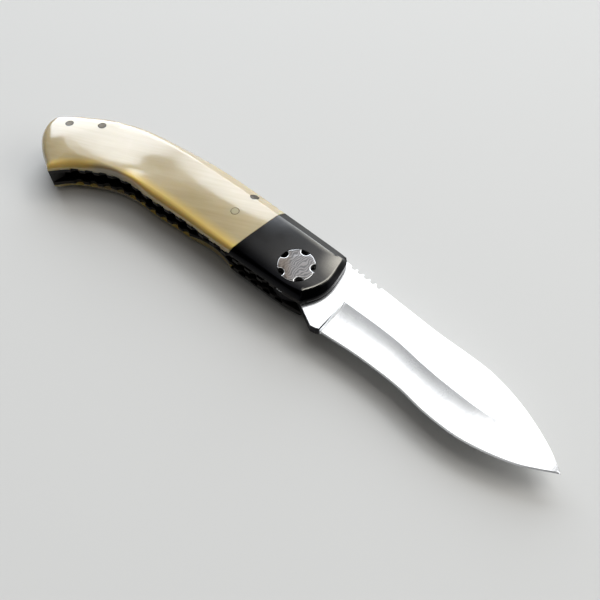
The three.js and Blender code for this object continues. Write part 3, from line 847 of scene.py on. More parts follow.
@dataclass
class HandleForm:
    """Outline and section of the handle, which its covers, liners and spacer share."""

    BEVEL_STEPS = (0.0, 0.06, 0.2, 0.35, 0.5, 0.65, 0.78, 0.88, 0.94, 1.0)  # of the bevel's height
    FACE_STEPS = (0.06, 0.13, 0.22, 0.34, 0.48, 0.64, 0.8, 0.96)  # of the way to the middle line

    front: Rows = (
        (8.2, -7.9, 2.1), (11.05, -2.8, 1.9), (12.05, 2.0, 1.55), (11.45, 7.5, 1.5),
        (10.25, 12.1, 1.75), (8.9, 13.7, 3.6),
    )
    spine: Rows = (
        (8.9, 13.7, 3.6), (6.0, 13.93, 3.45), (-18.0, 14.5, 3.4), (-40.0, 14.8, 3.5),
        (-54.0, 14.1, 3.6), (-68.0, 12.5, 3.8), (-80.0, 10.3, 4.0), (-90.0, 6.8, 4.0),
        (-98.0, 2.4, 3.6), (-104.6, -2.4, 2.3), (-108.2, -6.3, 2.3), (-108.2, -9.6, 2.3),
        (-105.6, -14.7, 2.3), (-100.0, -19.5, 2.3), (-91.4, -24.1, 2.3),
    )
    belly: Rows = (
        (-91.4, -24.1, 2.3), (-87.0, -19.3, 2.7), (-80.5, -15.1, 1.7), (-73.5, -11.6, 1.25),
        (-66.0, -9.9, 1.35), (-56.0, -9.9, 2.5), (-42.0, -9.1, 2.1), (-20.0, -9.1, 1.9),
        (2.5, -8.55, 1.5), (8.2, -7.9, 2.1),
    )
    middle: Rows = (
        (2.0, 3.2), (-40.0, 2.2), (-52.0, 0.7), (-60.0, -2.0), (-66.0, -4.7), (-73.5, -9.4),
        (-80.5, -11.6), (-87.0, -13.4), (-92.0, -13.0), (-96.0, -11.2),
    )
    spacing: float = 0.45
    side_wall: float = 0.5
    crown: Rows = (
        (-109.0, 1.5), (-103.0, 1.55), (-96.0, 1.55), (-88.0, 1.5), (-78.0, 1.11), (-71.0, 0.38),
        (-65.0, 0.06), (-60.0, 0.16), (-52.0, 0.42), (-46.0, 0.9), (-38.0, 1.18), (-29.0, 1.1),
        (-21.0, 0.8), (-15.0, 0.47), (-6.0, 0.15), (13.0, 0.1),
    )
    hollow_place: tuple[float, float] = (-68.0, -2.7)
    hollow_radii: tuple[float, float] = (12.0, 5.2)
    hollow_turn: float = -10.0
    hollow_depth: float = 0.26
    hollow_rise: float = 0.5
    belly_roundness: float = 0.75
    crisp_until: float = -42.0
    round_from: float = -84.0
    crease: float = 0.16
    joint_x: float = -18.6
    joint_slope: float = 0.13
    joint_lean: float = 0.25
    joint_gap: float = 0.18
    # Painted highlight along the face's edge, and painted sheen on the bolster's front corner:
    edge_highlight: float = 0.3
    highlight_widths: tuple[float, float] = (1.6, 0.45)
    highlight_along: tuple[float, float] = (-24.0, 2.0)
    highlight_ahead: tuple[float, float] = (5.0, 10.0)
    corner_sheen: float = 0.5
    sheen_reach: float = 8.0
    sheen_squeeze: float = 0.8
    sheen_corner: tuple[float, float] = (10.0, 10.5)
    filework: float = 5.1
    groove_radius: float = 1.7
    groove_depth: float = 0.9
    groove_in_scale: float = 0.6
    groove_start: float = 9.0
    groove_end: float = 4.0

    def __post_init__(self) -> None:
        """Works out the outline and the way from each of its points to the middle line."""
        front, spine, belly = (smooth(rows, self.spacing) for rows in (self.front, self.spine, self.belly))
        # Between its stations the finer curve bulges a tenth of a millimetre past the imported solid.
        low, high = (np.array(corner[:2]) / MM for corner in CAD_BOX)
        for line in (front, spine, belly):
            line[:, :2] = np.clip(line[:, :2], low, high)
        self.spine_line, self.belly_line = spine, belly
        self.outline = np.vstack([front[:-1], spine[:-1], belly[:-1]])
        self.on_belly = np.arange(len(self.outline)) >= len(front) + len(spine) - 2
        line = smooth(self.middle, 0.25)
        away = line[None, :, :] - self.outline[:, None, :2]
        near = np.argmin(np.hypot(away[..., 0], away[..., 1]), 1)
        ways = away[np.arange(len(near)), near]
        self.reach = np.hypot(*ways.T)
        self.ways = ways / self.reach[:, None]

    def rings(self) -> np.ndarray:
        """Rings of the near cover, from its foot on the liner to the middle of its crown.

        Returns:
            An array of rings, points and coordinates in millimetres.
        """
        x, y, bevel = self.outline.T
        backness = smoothstep(-x, -self.crisp_until, -self.round_from)
        roundness = np.where(self.on_belly, self.belly_roundness, backness)
        rise = height_of(smooth(self.crown, 0.5), x)
        foot, shoulder = LEVELS.liner_high + self.side_wall, LEVELS.top - rise
        insets, heights = [0 * x, 0 * x], [0 * x + LEVELS.liner_high, 0 * x + foot - self.crease]
        for h in self.BEVEL_STEPS:
            insets.append(bevel * lerp(h, 1 - math.sqrt(1 - h * h), roundness))
            heights.append(lerp(foot, shoulder, h))
        rest = self.reach - bevel
        for t in (self.crease / rest, *self.FACE_STEPS):
            insets.append(bevel + rest * t)
            heights.append(shoulder)
        # The crown is added over the whole width, so that the section stays convex at the bevel.
        for i in range(2, len(insets)):
            heights[i] = heights[i] + rise * (1 - (1 - insets[i] / self.reach) ** 2)
        across, along = self.ways.T
        made = np.array([np.stack([x + across * i, y + along * i, z], 1) for i, z in zip(insets, heights)])
        share = np.clip((made[..., 2] - foot) / self.hollow_rise, 0, 1)
        made[..., 2] -= self.hollow(made[..., :2]) * share
        return made

    def hollow(self, places: np.ndarray) -> np.ndarray:
        """Depth of the shallow hollow that lies along the neck, at places in plan."""
        turn = math.radians(self.hollow_turn)
        away = places - np.array(self.hollow_place)
        along = away @ np.array((math.cos(turn), math.sin(turn))) / self.hollow_radii[0]
        across = away @ np.array((-math.sin(turn), math.cos(turn))) / self.hollow_radii[1]
        return self.hollow_depth * np.exp(-(along**2) - across**2)

    def near_belly(self, places: np.ndarray, full: float, start: float) -> np.ndarray:
        """Share of a colour that fades inwards from the belly's edge.

        Args:
            places: Places in millimetres.
            full: How far from the edge it is still whole.
            start: How far from the edge it begins.

        Returns:
            The shares.
        """
        away = places[:, None, :2] - self.belly_line[None, ::3, :2]
        return 1 - smoothstep(np.hypot(away[..., 0], away[..., 1]).min(1), full, start)

    def inside_edge(self, places: np.ndarray) -> tuple[np.ndarray, np.ndarray]:
        """How far places lie inside the edge between the cover's face and its bevel.

        Args:
            places: Places in millimetres.

        Returns:
            The distances, negative on the bevel, and whether the belly is the nearest side.
        """
        away = np.hypot(*(places[:, None, :2] - self.outline[None, :, :2]).transpose(2, 0, 1))
        near = np.argmin(away, 1)
        return away[np.arange(len(near)), near] - self.outline[near, 2], self.on_belly[near]

    def painted_highlight(self, places: np.ndarray) -> np.ndarray:
        """Share of the painted highlight at places, along the face's edge, and of the painted sheen on its
        front corner.

        Args:
            places: Places in millimetres.

        Returns:
            The shares, 0 on the bevels and along the belly.
        """
        inside, belly = self.inside_edge(places)
        ahead = 1 - smoothstep(places[:, 1], *self.highlight_ahead)
        strength = lerp(self.edge_highlight, 2 * self.edge_highlight, ahead)
        line = strength * (1 - smoothstep(inside, 0.0, lerp(*self.highlight_widths, ahead)))
        edge = line * smoothstep(places[:, 0], *self.highlight_along)
        # The front corner gets a painted sheen.
        x, y = (places[:, :2] - self.sheen_corner).T
        corner = np.hypot(x, y * self.sheen_squeeze)
        highlit = np.maximum(edge, self.corner_sheen * (1 - smoothstep(corner, 0.0, self.sheen_reach)))
        return np.where(belly | (inside < -0.1), 0.0, highlit)

    def cover(self) -> Draft:
        """Draft of one whole cover, before it is split at the joint."""
        return lofted(self.rings())

    def whole(self) -> Thing:
        """The space between the covers' outer faces, which dresses the pins flush."""
        near = self.rings()[1:]
        far = near.copy()
        far[:, :, 2] = LEVELS.top - far[:, :, 2]
        return from_bmesh("handle_space", lofted(np.concatenate([far[::-1], near])))

    def split(self, draft: Draft, ahead: bool) -> Draft:
        """Keeps the part of a cover on one side of the joint line.

        Args:
            draft: The whole cover.
            ahead: Whether to keep what is ahead of the line, which is the bolster.

        Returns:
            The draft, cut and closed.
        """
        way = 1 if ahead else -1
        normal = Vector((-way, way * self.joint_slope, way * self.joint_lean))
        cut = bmesh.ops.bisect_plane(
            draft,
            geom=draft.verts[:] + draft.edges[:] + draft.faces[:],
            plane_co=(self.joint_x + way * self.joint_gap / 2, 0, LEVELS.top),
            plane_no=normal,
            clear_outer=True,
            dist=1e-5,
        )
        rim = [item for item in cut["geom_cut"] if isinstance(item, bmesh.types.BMEdge)]
        bmesh.ops.contextual_create(draft, geom=rim)
        return draft

    def grooves(self, low: float, high: float) -> Thing:
        """Cutters of the filework along the belly.

        Args:
            low: Level of their feet.
            high: Level of their tops.

        Returns:
            One object with all the cutters.
        """
        room = lengths_along(self.belly_line)[-1] - self.groove_start - self.groove_end
        count = math.ceil(room / self.filework)
        row = Repeat(
            self.belly_line, self.groove_start, self.filework, count, self.groove_radius - self.groove_depth
        )
        return row.of("filework", cylinder((0, 0), self.groove_radius, low, high, 40), LINER_STEEL)


@dataclass(frozen=True)
class Fittings:
    """Sizes and places of the pins, screws and pivot, which the pieces round them are drilled for."""

    pin_radius: float = 1.45
    pin_fit: float = 0.04
    rear_pin: tuple[float, float] = (-100.6, -5.9)
    second_pin: tuple[float, float] = (-91.1, 0.9)
    front_pin: tuple[float, float] = (-28.5, 12.1)
    scale_pin: tuple[float, float] = (-28.8, 3.1)
    rear_screw: tuple[float, float] = (-13.6, 6.2)
    front_screw: tuple[float, float] = (4.4, 8.0)
    screw_radius: float = 1.1
    screw_head: float = 1.9
    screw_land: float = 0.15
    screw_head_height: float = 0.9
    screw_length: float = 3.5
    screw_slot: float = 0.5
    barrel_radius: float = 2.4
    barrel_bore: float = 1.5
    head_radius: float = 6.0
    head_thickness: float = 1.9
    shank_length: float = 4.2
    washer_radius: float = 4.6
    washer_thickness: float = 0.3
    stop_radius: float = 1.6
    stop_orbit: float = 10.0
    stop_at: float = 131.0
    run_fit: float = 0.05
    overcut: float = 1.0

    @property
    def through_pins(self) -> dict[str, tuple[float, float]]:
        """The pins through the whole handle, by their nodes' names."""
        return {
            "spine_pin_rear": self.rear_pin,
            "spine_pin_second": self.second_pin,
            "spine_pin_front": self.front_pin,
        }

    def pin_room(self, place: Sequence[float], low: float, high: float) -> Draft:
        """Draft of the hole for a pin, between two levels and a little past them."""
        return cylinder(place, self.pin_radius + self.pin_fit, low - self.overcut, high + self.overcut, 64)

    def screw(self, place: Sequence[float], low: float, fit: float) -> Draft:
        """Draft of a countersunk screw that points up.

        Args:
            place: Plan place of its axis.
            low: Level at which its head begins.
            fit: How much it is grown all round, for a hole.

        Returns:
            The draft.
        """
        head, shank = self.screw_head + fit, self.screw_radius + fit
        land, neck = LEVELS.slot_high + self.screw_land, LEVELS.slot_high + self.screw_head_height
        end = LEVELS.slot_high + self.screw_length + fit
        profile = ((0, low), (head, low), (head, land), (shank, neck), (shank, end), (0, end))
        return turned(profile, place, 48)

    def screw_rooms(self) -> list[Draft]:
        """Drafts of the near side's two screw holes."""
        low = LEVELS.slot_high - self.overcut
        return [self.screw(place, low, self.pin_fit) for place in (self.rear_screw, self.front_screw)]


FORM = HandleForm()
FITTINGS = Fittings()


def places_of(target: Thing) -> np.ndarray:
    """Places of an object's points, in millimetres."""
    vertices = target.data.vertices
    places = np.zeros(len(vertices) * 3)
    vertices.foreach_get("co", places)
    return places.reshape(-1, 3) / MM


def mark(target: Thing, name: str, rule: Callable[[np.ndarray], np.ndarray]) -> None:
    """Writes an attribute on an object's points.

    Args:
        target: The object.
        name: The attribute's name, which a material reads.
        rule: Gives the values at places in millimetres.
    """
    layer = target.data.attributes.new(name, "FLOAT", "POINT")
    layer.data.foreach_set("value", rule(places_of(target)).astype(np.float32))


def mark_offset(target: Thing, centre: Sequence[float]) -> None:
    """Writes each point's way from a plan centre, in millimetres, for the painted shade round a pin's rim."""
    ways = places_of(target) - np.array((*centre, 0))
    ways[:, 2] = 0
    layer = target.data.attributes.new("offset", "FLOAT_VECTOR", "POINT")
    layer.data.foreach_set("vector", ways.astype(np.float32).ravel())


@dataclass
class Relief:
    """Round hollow in the far side's belly, through which the thumb reaches the lock leaf."""

    x: float = -30.0
    length: float = 20.0
    depth: float = 2.0

    def cutter(self) -> Thing:
        """The cutting body, from below the far scale up through its liner."""
        radius = (self.length**2 / 4 + self.depth**2) / (2 * self.depth)
        edge = float(height_of(FORM.belly_line, self.x))
        high = LEVELS.slot_low + FITTINGS.overcut
        middle = (self.x, edge + self.depth - radius)
        return from_bmesh("relief", cylinder(middle, radius, -FITTINGS.overcut, high, 400))


@dataclass
class Bolster:
    """Front cover of one side, recessed for the pivot's head."""

    side: Side
    finish: Finish = BOLSTER_STEEL
    # Painted shade: how far from the belly it begins and where it is whole, and where on the bevels it fades
    # out.
    dark_from: float = 7.5
    dark_full: float = 1.5
    dark_bevel: float = -0.5

    def build(self) -> Thing:
        """Cuts the bolster out of the whole cover and drills it."""
        name = f"bolster_{self.side.value}"
        seat, room = LEVELS.top - FITTINGS.head_thickness, FITTINGS.head_radius + FITTINGS.pin_fit
        bore = FITTINGS.barrel_radius + FITTINGS.pin_fit
        low, high = LEVELS.liner_high - FITTINGS.overcut, LEVELS.top + FITTINGS.overcut
        recess = turned(
            ((0, low), (bore, low), (bore, seat), (room, seat), (room, high), (0, high)), (0, 0), 160
        )
        made = from_bmesh(name, FORM.split(FORM.cover(), ahead=True))
        carve(made, from_bmesh("rooms", joined([recess, *FITTINGS.screw_rooms()])))
        turn_over(made, self.side)
        weigh_normals(made, 50)
        # The rim attribute places the painted highlight along the face's edge and the painted sheen on its
        # front corner.
        mark(made, "rim", FORM.painted_highlight)
        # The belly attribute places the near-black painted shade on the bevels and towards the belly.
        mark(made, "belly", self.dark)
        return dress(made, [self.finish.material()], "handle", [name])

    def dark(self, places: np.ndarray) -> np.ndarray:
        """Share of the near-black painted shade, which is whole on the bevels and fades in from the belly."""
        inside, _ = FORM.inside_edge(places)
        below = FORM.near_belly(places, self.dark_full, self.dark_from)
        return np.maximum(below, 1 - smoothstep(inside, self.dark_bevel, 0.0))


@dataclass
class Scale:
    """Rear cover of one side, drilled for its pins and notched by the filework."""

    side: Side
    relief: Relief
    finish: Finish = IVORY
    # Reach of the belly's amber painted glow, ahead and at the butt, and where it is whole; it is left nearly
    # plain at the neck.
    glow_from: tuple[float, float] = (5.5, 3.4)
    glow_full: float = 0.9
    plain_neck: tuple[float, float, float, float] = (-82.0, -77.0, -71.0, -66.0)
    plain_share: float = 0.85

    def build(self) -> Thing:
        """Cuts the scale out of the whole cover, drills and notches it."""
        name = f"scale_{self.side.value}"
        pins = [*FITTINGS.through_pins.values(), FITTINGS.scale_pin]
        rooms = [FITTINGS.pin_room(place, LEVELS.liner_high, LEVELS.top) for place in pins]
        made = from_bmesh(name, FORM.split(FORM.cover(), ahead=False))
        carve(made, from_bmesh("rooms", joined(rooms)))
        low = LEVELS.liner_high - FITTINGS.overcut
        carve(made, FORM.grooves(low, LEVELS.liner_high + FORM.groove_in_scale))
        turn_over(made, self.side)
        if self.side is Side.LEFT:
            carve(made, self.relief.cutter())
        weigh_normals(made, 50)
        # The belly attribute places the amber painted glow.
        mark(made, "belly", self.painted_glow)
        return dress(made, [self.finish.material()], "handle", [name])

    def painted_glow(self, places: np.ndarray) -> np.ndarray:
        """Share of the amber painted glow along the belly, where light shines through the thin edge.

        Args:
            places: Places in millimetres.

        Returns:
            The shares: narrower at the butt, and nearly none at the neck.
        """
        starts, full, fades, ends = self.plain_neck
        ahead = smoothstep(places[:, 0], starts, full)
        plain = ahead * (1 - smoothstep(places[:, 0], fades, ends))
        wide, narrow = (FORM.near_belly(places, self.glow_full, start) for start in self.glow_from)
        return lerp(wide, narrow, 1 - ahead) * (1 - self.plain_share * plain)


def turn_over(target: Thing, side: Side) -> None:
    """Moves a finished near piece to the side where it belongs."""
    if side is Side.RIGHT:
        return
    with edited(target) as draft:
        for vert in draft.verts:
            vert.co.z = LEVELS.top * MM - vert.co.z
        bmesh.ops.reverse_faces(draft, faces=draft.faces)


@dataclass
class LeafForm:
    """Plan of the lock leaf, sawn out of the near liner."""

    face_x: float = -5.4
    face_top: float = -3.4
    length: float = 49.5
    drop: float = 1.6
    root_top: float = 0.6
    slit: float = 0.8
    gap: float = 0.35
    ball_radius: float = 0.8
    ball_stand_out: float = 0.25
    ball_place: tuple[float, float] = (-7.2, -6.1)
    far_out: float = 40.0

    @property
    def tip_x(self) -> float:
        """Where the leaf ends, just behind the tang's lock face."""
        return self.face_x - FITTINGS.run_fit

    @property
    def root_x(self) -> float:
        """Where the leaf begins to bend."""
        return self.tip_x - self.length

    def area(self, ends: float, above: float) -> np.ndarray:
        """Plan of the leaf's area, grown by one gap at its ends and another along its top."""
        top = self.face_top - self.slit / 2
        return np.array(
            [
                (self.root_x - ends, -self.far_out),
                (self.tip_x + ends, -self.far_out),
                (self.tip_x + ends, top + above),
                (self.root_x - ends, self.root_top + above),
            ]
        )

    def bend(self, target: Thing) -> None:
        """Turns a piece down into the blade's slot about the leaf's root."""
        middle = Vector((self.root_x, 0, (LEVELS.slot_high + LEVELS.liner_high) / 2)) * MM
        turn = Matrix.Rotation(math.asin(self.drop / self.length), 4, "Y")
        target.data.transform(Matrix.Translation(middle) @ turn @ Matrix.Translation(-middle))


LEAF = LeafForm()


@dataclass
class Liner:
    """Steel liner of one side, with the filework along its belly."""

    side: Side
    relief: Relief
    finish: Finish = LINER_STEEL
    broken_edge: float = 0.07

    def plate(self, name: str) -> Thing:
        """The whole liner before it is drilled."""
        return from_bmesh(name, extruded(FORM.outline[:, :2], LEVELS.slot_high, LEVELS.liner_high))

    def build(self) -> Thing:
        """Drills and files the liner, and saws the leaf's room into the near one."""
        name = f"liner_{self.side.value}"
        low, high = LEVELS.slot_high - FITTINGS.overcut, LEVELS.liner_high + FITTINGS.overcut
        pins = [*FITTINGS.through_pins.values(), FITTINGS.scale_pin]
        stop = polar(FITTINGS.stop_orbit, FITTINGS.stop_at)
        holes = [FITTINGS.pin_room(place, LEVELS.slot_high, LEVELS.liner_high) for place in pins]
        holes.append(cylinder((0, 0), FITTINGS.barrel_radius + FITTINGS.pin_fit, low, high))
        holes.append(cylinder(stop, FITTINGS.stop_radius + FITTINGS.pin_fit, low, high))
        holes.extend(FITTINGS.screw_rooms())
        made = self.plate(name)
        carve(made, from_bmesh("holes", joined(holes)))
        if self.side is Side.RIGHT:
            carve(made, from_bmesh("leaf_room", extruded(LEAF.area(LEAF.gap, LEAF.slit), low, high)))
        carve(made, FORM.grooves(low, high))
        turn_over(made, self.side)
        if self.side is Side.LEFT:
            carve(made, self.relief.cutter())
        soften(made, self.broken_edge, 50)
        weigh_normals(made)
        return dress(made, [self.finish.material()], "handle", [name])


@dataclass
class LockLeaf:
    """Lock leaf, sprung into the slot behind the tang, and the detent ball that it carries."""

    finish: Finish = LINER_STEEL
    ball_finish: Finish = FITTING_STEEL
    broken_edge: float = 0.07
    ground_off: float = 0.04

    def build(self) -> Thing:
        """Saws the leaf out of the liner's plate, grinds its back to clear the covers and bends it down."""
        low, high = LEVELS.slot_high - FITTINGS.overcut, LEVELS.liner_high + FITTINGS.overcut
        made = Liner(Side.RIGHT, Relief()).plate("lock_leaf")
        kept = extruded(LEAF.area(0, 0), low, LEVELS.liner_high - self.ground_off)
        carve(made, from_bmesh("leaf_area", kept), "INTERSECT")
        seat = cylinder(LEAF.ball_place, LEAF.ball_radius + FITTINGS.pin_fit, low, high, 48)
        carve(made, from_bmesh("ball_seat", seat))
        carve(made, FORM.grooves(low, high))
        soften(made, self.broken_edge, 50)
        LEAF.bend(made)
        weigh_normals(made)
        return dress(made, [self.finish.material()], "lock_leaf", ["lock_leaf"])

    def build_ball(self) -> Thing:
        """Makes the detent ball in its seat."""
        draft = bmesh.new()
        level = LEVELS.slot_high + LEAF.ball_radius - LEAF.ball_stand_out
        bmesh.ops.create_uvsphere(
            draft,
            u_segments=40,
            v_segments=20,
            radius=LEAF.ball_radius,
            matrix=Matrix.Translation((*LEAF.ball_place, level)),
        )
        made = from_bmesh("detent_ball", draft)
        LEAF.bend(made)
        shade(made)
        return dress(made, [self.ball_finish.material()], "lock_leaf", ["detent_ball"])


@dataclass
class BackSpacer:
    """Black spacer along the spine and the butt, between the liners."""

    inner: Rows = (
        (-10.5, 10.7), (-20.0, 10.5), (-28.5, 9.4), (-45.0, 9.9), (-60.0, 8.8), (-74.0, 6.6),
        (-84.0, 3.2), (-91.5, -1.6), (-97.4, -6.4), (-100.8, -11.0), (-98.6, -15.0), (-90.6, -19.0),
    )
    finish: Finish = BLACK_FIBRE
    broken_edge: float = 0.12

    def build(self) -> Thing:
        """Cuts the spacer to the handle's outline and drills it."""
        spine = FORM.spine_line[:, :2]
        outer = spine[spine[:, 0] < self.inner[0][0]]
        outline = np.vstack([outer, smooth(self.inner, FORM.spacing)[::-1]])
        draft = extruded(outline, LEVELS.slot_low, LEVELS.slot_high, self.broken_edge)
        made = from_bmesh("back_spacer", draft)
        pins = FITTINGS.through_pins.values()
        rooms = [FITTINGS.pin_room(place, LEVELS.slot_low, LEVELS.slot_high) for place in pins]
        carve(made, from_bmesh("rooms", joined(rooms)))
        weigh_normals(made)
        return dress(made, [self.finish.material()], "handle", ["back_spacer"])


@dataclass
class HandlePins:
    """Pins through the handle and short pins in the scales, all dressed flush."""

    through_finish: Finish = BROWNED_PIN
    short_finish: Finish = IVORY_PIN

    def flush(self, name: str, place: Sequence[float], low: float, high: float) -> Thing:
        """Makes a pin and dresses its ends flush with the covers.

        Args:
            name: Its name.
            place: Plan place of its axis.
            low: Lower level before it is dressed.
            high: Upper level before it is dressed.

        Returns:
            The pin.
        """
        made = from_bmesh(name, cylinder(place, FITTINGS.pin_radius, low, high, 64))
        carve(made, FORM.whole(), "INTERSECT")
        weigh_normals(made, 40)
        # The way from the axis places the painted shade round the pin's rim.
        mark_offset(made, place)
        return made

    def build(self) -> list[Thing]:
        """Makes every pin."""
        low, high = -FITTINGS.overcut, LEVELS.top + FITTINGS.overcut
        pins = []
        for name, place in FITTINGS.through_pins.items():
            made = self.flush(name, place, low, high)
            pins.append(dress(made, [self.through_finish.material()], "handle", [name]))
        for side in Side:
            name = f"scale_pin_{side.value}"
            made = self.flush(name, FITTINGS.scale_pin, LEVELS.slot_high, high)
            turn_over(made, side)
            pins.append(dress(made, [self.short_finish.material()], "handle", [name]))
        return pins


@dataclass
class Pivot:
    """What the blade turns on: two notched heads, a barrel and two washers, and its stop pin."""

    notch_count: int = 5
    notch_radius: float = 1.45
    notch_orbit: float = 5.85
    notch_turn: float = 29.0
    broken_edge: float = 0.32
    ring_edge: float = 0.1
    stop_edge: float = 0.15
    head_finish: Finish = PATTERN_STEEL
    barrel_finish: Finish = FITTING_STEEL
    washer_finish: Finish = BEARING_BRONZE

    def notches(self, low: float, high: float) -> Thing:
        """Cutters of the notches round a head's rim."""
        step = 360 / self.notch_count
        path = arc((0, 0), self.notch_orbit, self.notch_turn, self.notch_turn + 360, 720)
        pitch = math.radians(step) * self.notch_orbit
        row = Repeat(path, 0.0, pitch, self.notch_count)
        return row.of("notches", cylinder((0, 0), self.notch_radius, low, high, 56), self.head_finish)

    def build_head(self, side: Side) -> Thing:
        """Makes one half of the pivot's screw: its notched head and its shank.

        Args:
            side: The side of the head.

        Returns:
            The dressed half.
        """
        name = f"pivot_screw_{side.value}"
        seat = LEVELS.top - FITTINGS.head_thickness
        shank, low = FITTINGS.barrel_bore - FITTINGS.run_fit, seat - FITTINGS.shank_length
        rim = FITTINGS.head_radius
        profile = ((0, low), (shank, low), (shank, seat), (rim, seat), (rim, LEVELS.top), (0, LEVELS.top))
        made = from_bmesh(name, turned(profile, (0, 0), 160))
        carve(made, self.notches(seat - FITTINGS.overcut, LEVELS.top + FITTINGS.overcut))
        soften(made, self.broken_edge, 50, free=True)
        # The broken edges below the top get the near-white painted highlight.
        mark(made, "rim", lambda places: (places[:, 2] < LEVELS.top - 0.01).astype(float))
        turn_over(made, side)
        weigh_normals(made)
        return dress(made, [self.head_finish.material()], "handle", [name])

    def ring(
        self, name: str, radii: tuple[float, float], levels: tuple[float, float], finish: Finish, slot: str
    ) -> Thing:
        """Makes a turned ring round the pivot's axis.

        Args:
            name: Its name and its node's.
            radii: Bore and outer radius.
            levels: Lower and upper level.
            finish: Its finish.
            slot: Not used.

        Returns:
            The dressed ring.
        """
        (bore, outer), (low, high) = radii, levels
        edge = min(self.ring_edge, (high - low) / 4)
        made = from_bmesh(name, turned(edged(bore, outer, low, high, edge), (0, 0)))
        weigh_normals(made)
        return dress(made, [finish.material()], "handle", [name])

    def build(self) -> list[Thing]:
        """Makes the heads, barrel, washers and stop pin."""
        pieces = [self.build_head(side) for side in Side]
        ends = (FITTINGS.head_thickness, LEVELS.top - FITTINGS.head_thickness)
        radii = (FITTINGS.barrel_bore, FITTINGS.barrel_radius)
        pieces.append(self.ring("pivot_barrel", radii, ends, self.barrel_finish, "pin_steel"))
        radii = (FITTINGS.barrel_radius + FITTINGS.pin_fit, FITTINGS.washer_radius)
        for side, low in ((Side.RIGHT, LEVELS.blade_high), (Side.LEFT, LEVELS.slot_low)):
            name, levels = f"washer_{side.value}", (low, low + FITTINGS.washer_thickness)
            pieces.append(self.ring(name, radii, levels, self.washer_finish, "bearing_bronze"))
        profile = edged(0, FITTINGS.stop_radius, LEVELS.liner_low, LEVELS.liner_high, self.stop_edge)
        stop = from_bmesh("stop_pin", turned(profile, polar(FITTINGS.stop_orbit, FITTINGS.stop_at)))
        weigh_normals(stop)
        pieces.append(dress(stop, [self.barrel_finish.material()], "handle", ["stop_pin"]))
        return pieces


@dataclass
class BolsterScrews:
    """Countersunk screws that hold the bolsters from inside the liners."""

    finish: Finish = FITTING_STEEL

    def build(self) -> list[Thing]:
        """Makes each side's two screws."""
        rear, front = np.array(FITTINGS.rear_screw), np.array(FITTINGS.front_screw)
        path = np.stack([lerp(rear, front, share) for share in (-0.1, 0, 1, 1.1)])
        pitch = float(np.hypot(*(front - rear)))
        pieces = []
        for side in Side:
            single = from_bmesh("screw", FITTINGS.screw((0, 0), LEVELS.slot_high, 0.0))
            slot = bmesh.new()
            wide = 2 * FITTINGS.screw_head + FITTINGS.overcut
            size = Matrix.Diagonal((wide, FITTINGS.screw_slot, 2 * FITTINGS.screw_slot, 1))
            bmesh.ops.create_cube(
                slot, size=1.0, matrix=Matrix.Translation((0, 0, LEVELS.slot_high)) @ size
            )
            carve(single, from_bmesh("slot", slot))
            draft = bmesh.new()
            draft.from_mesh(single.data)
            draft.transform(Matrix.Scale(1 / MM, 4))
            discard(single)
            row = Repeat(path, pitch * 0.1, pitch, 2)
            made = row.of(f"bolster_screws_{side.value}", draft, self.finish)
            turn_over(made, side)
            weigh_normals(made)
            nodes = [f"bolster_screw_{side.value}_{end}" for end in ("rear", "front")]
            pieces.append(dress(made, [self.finish.material()], "handle", nodes))
        return pieces


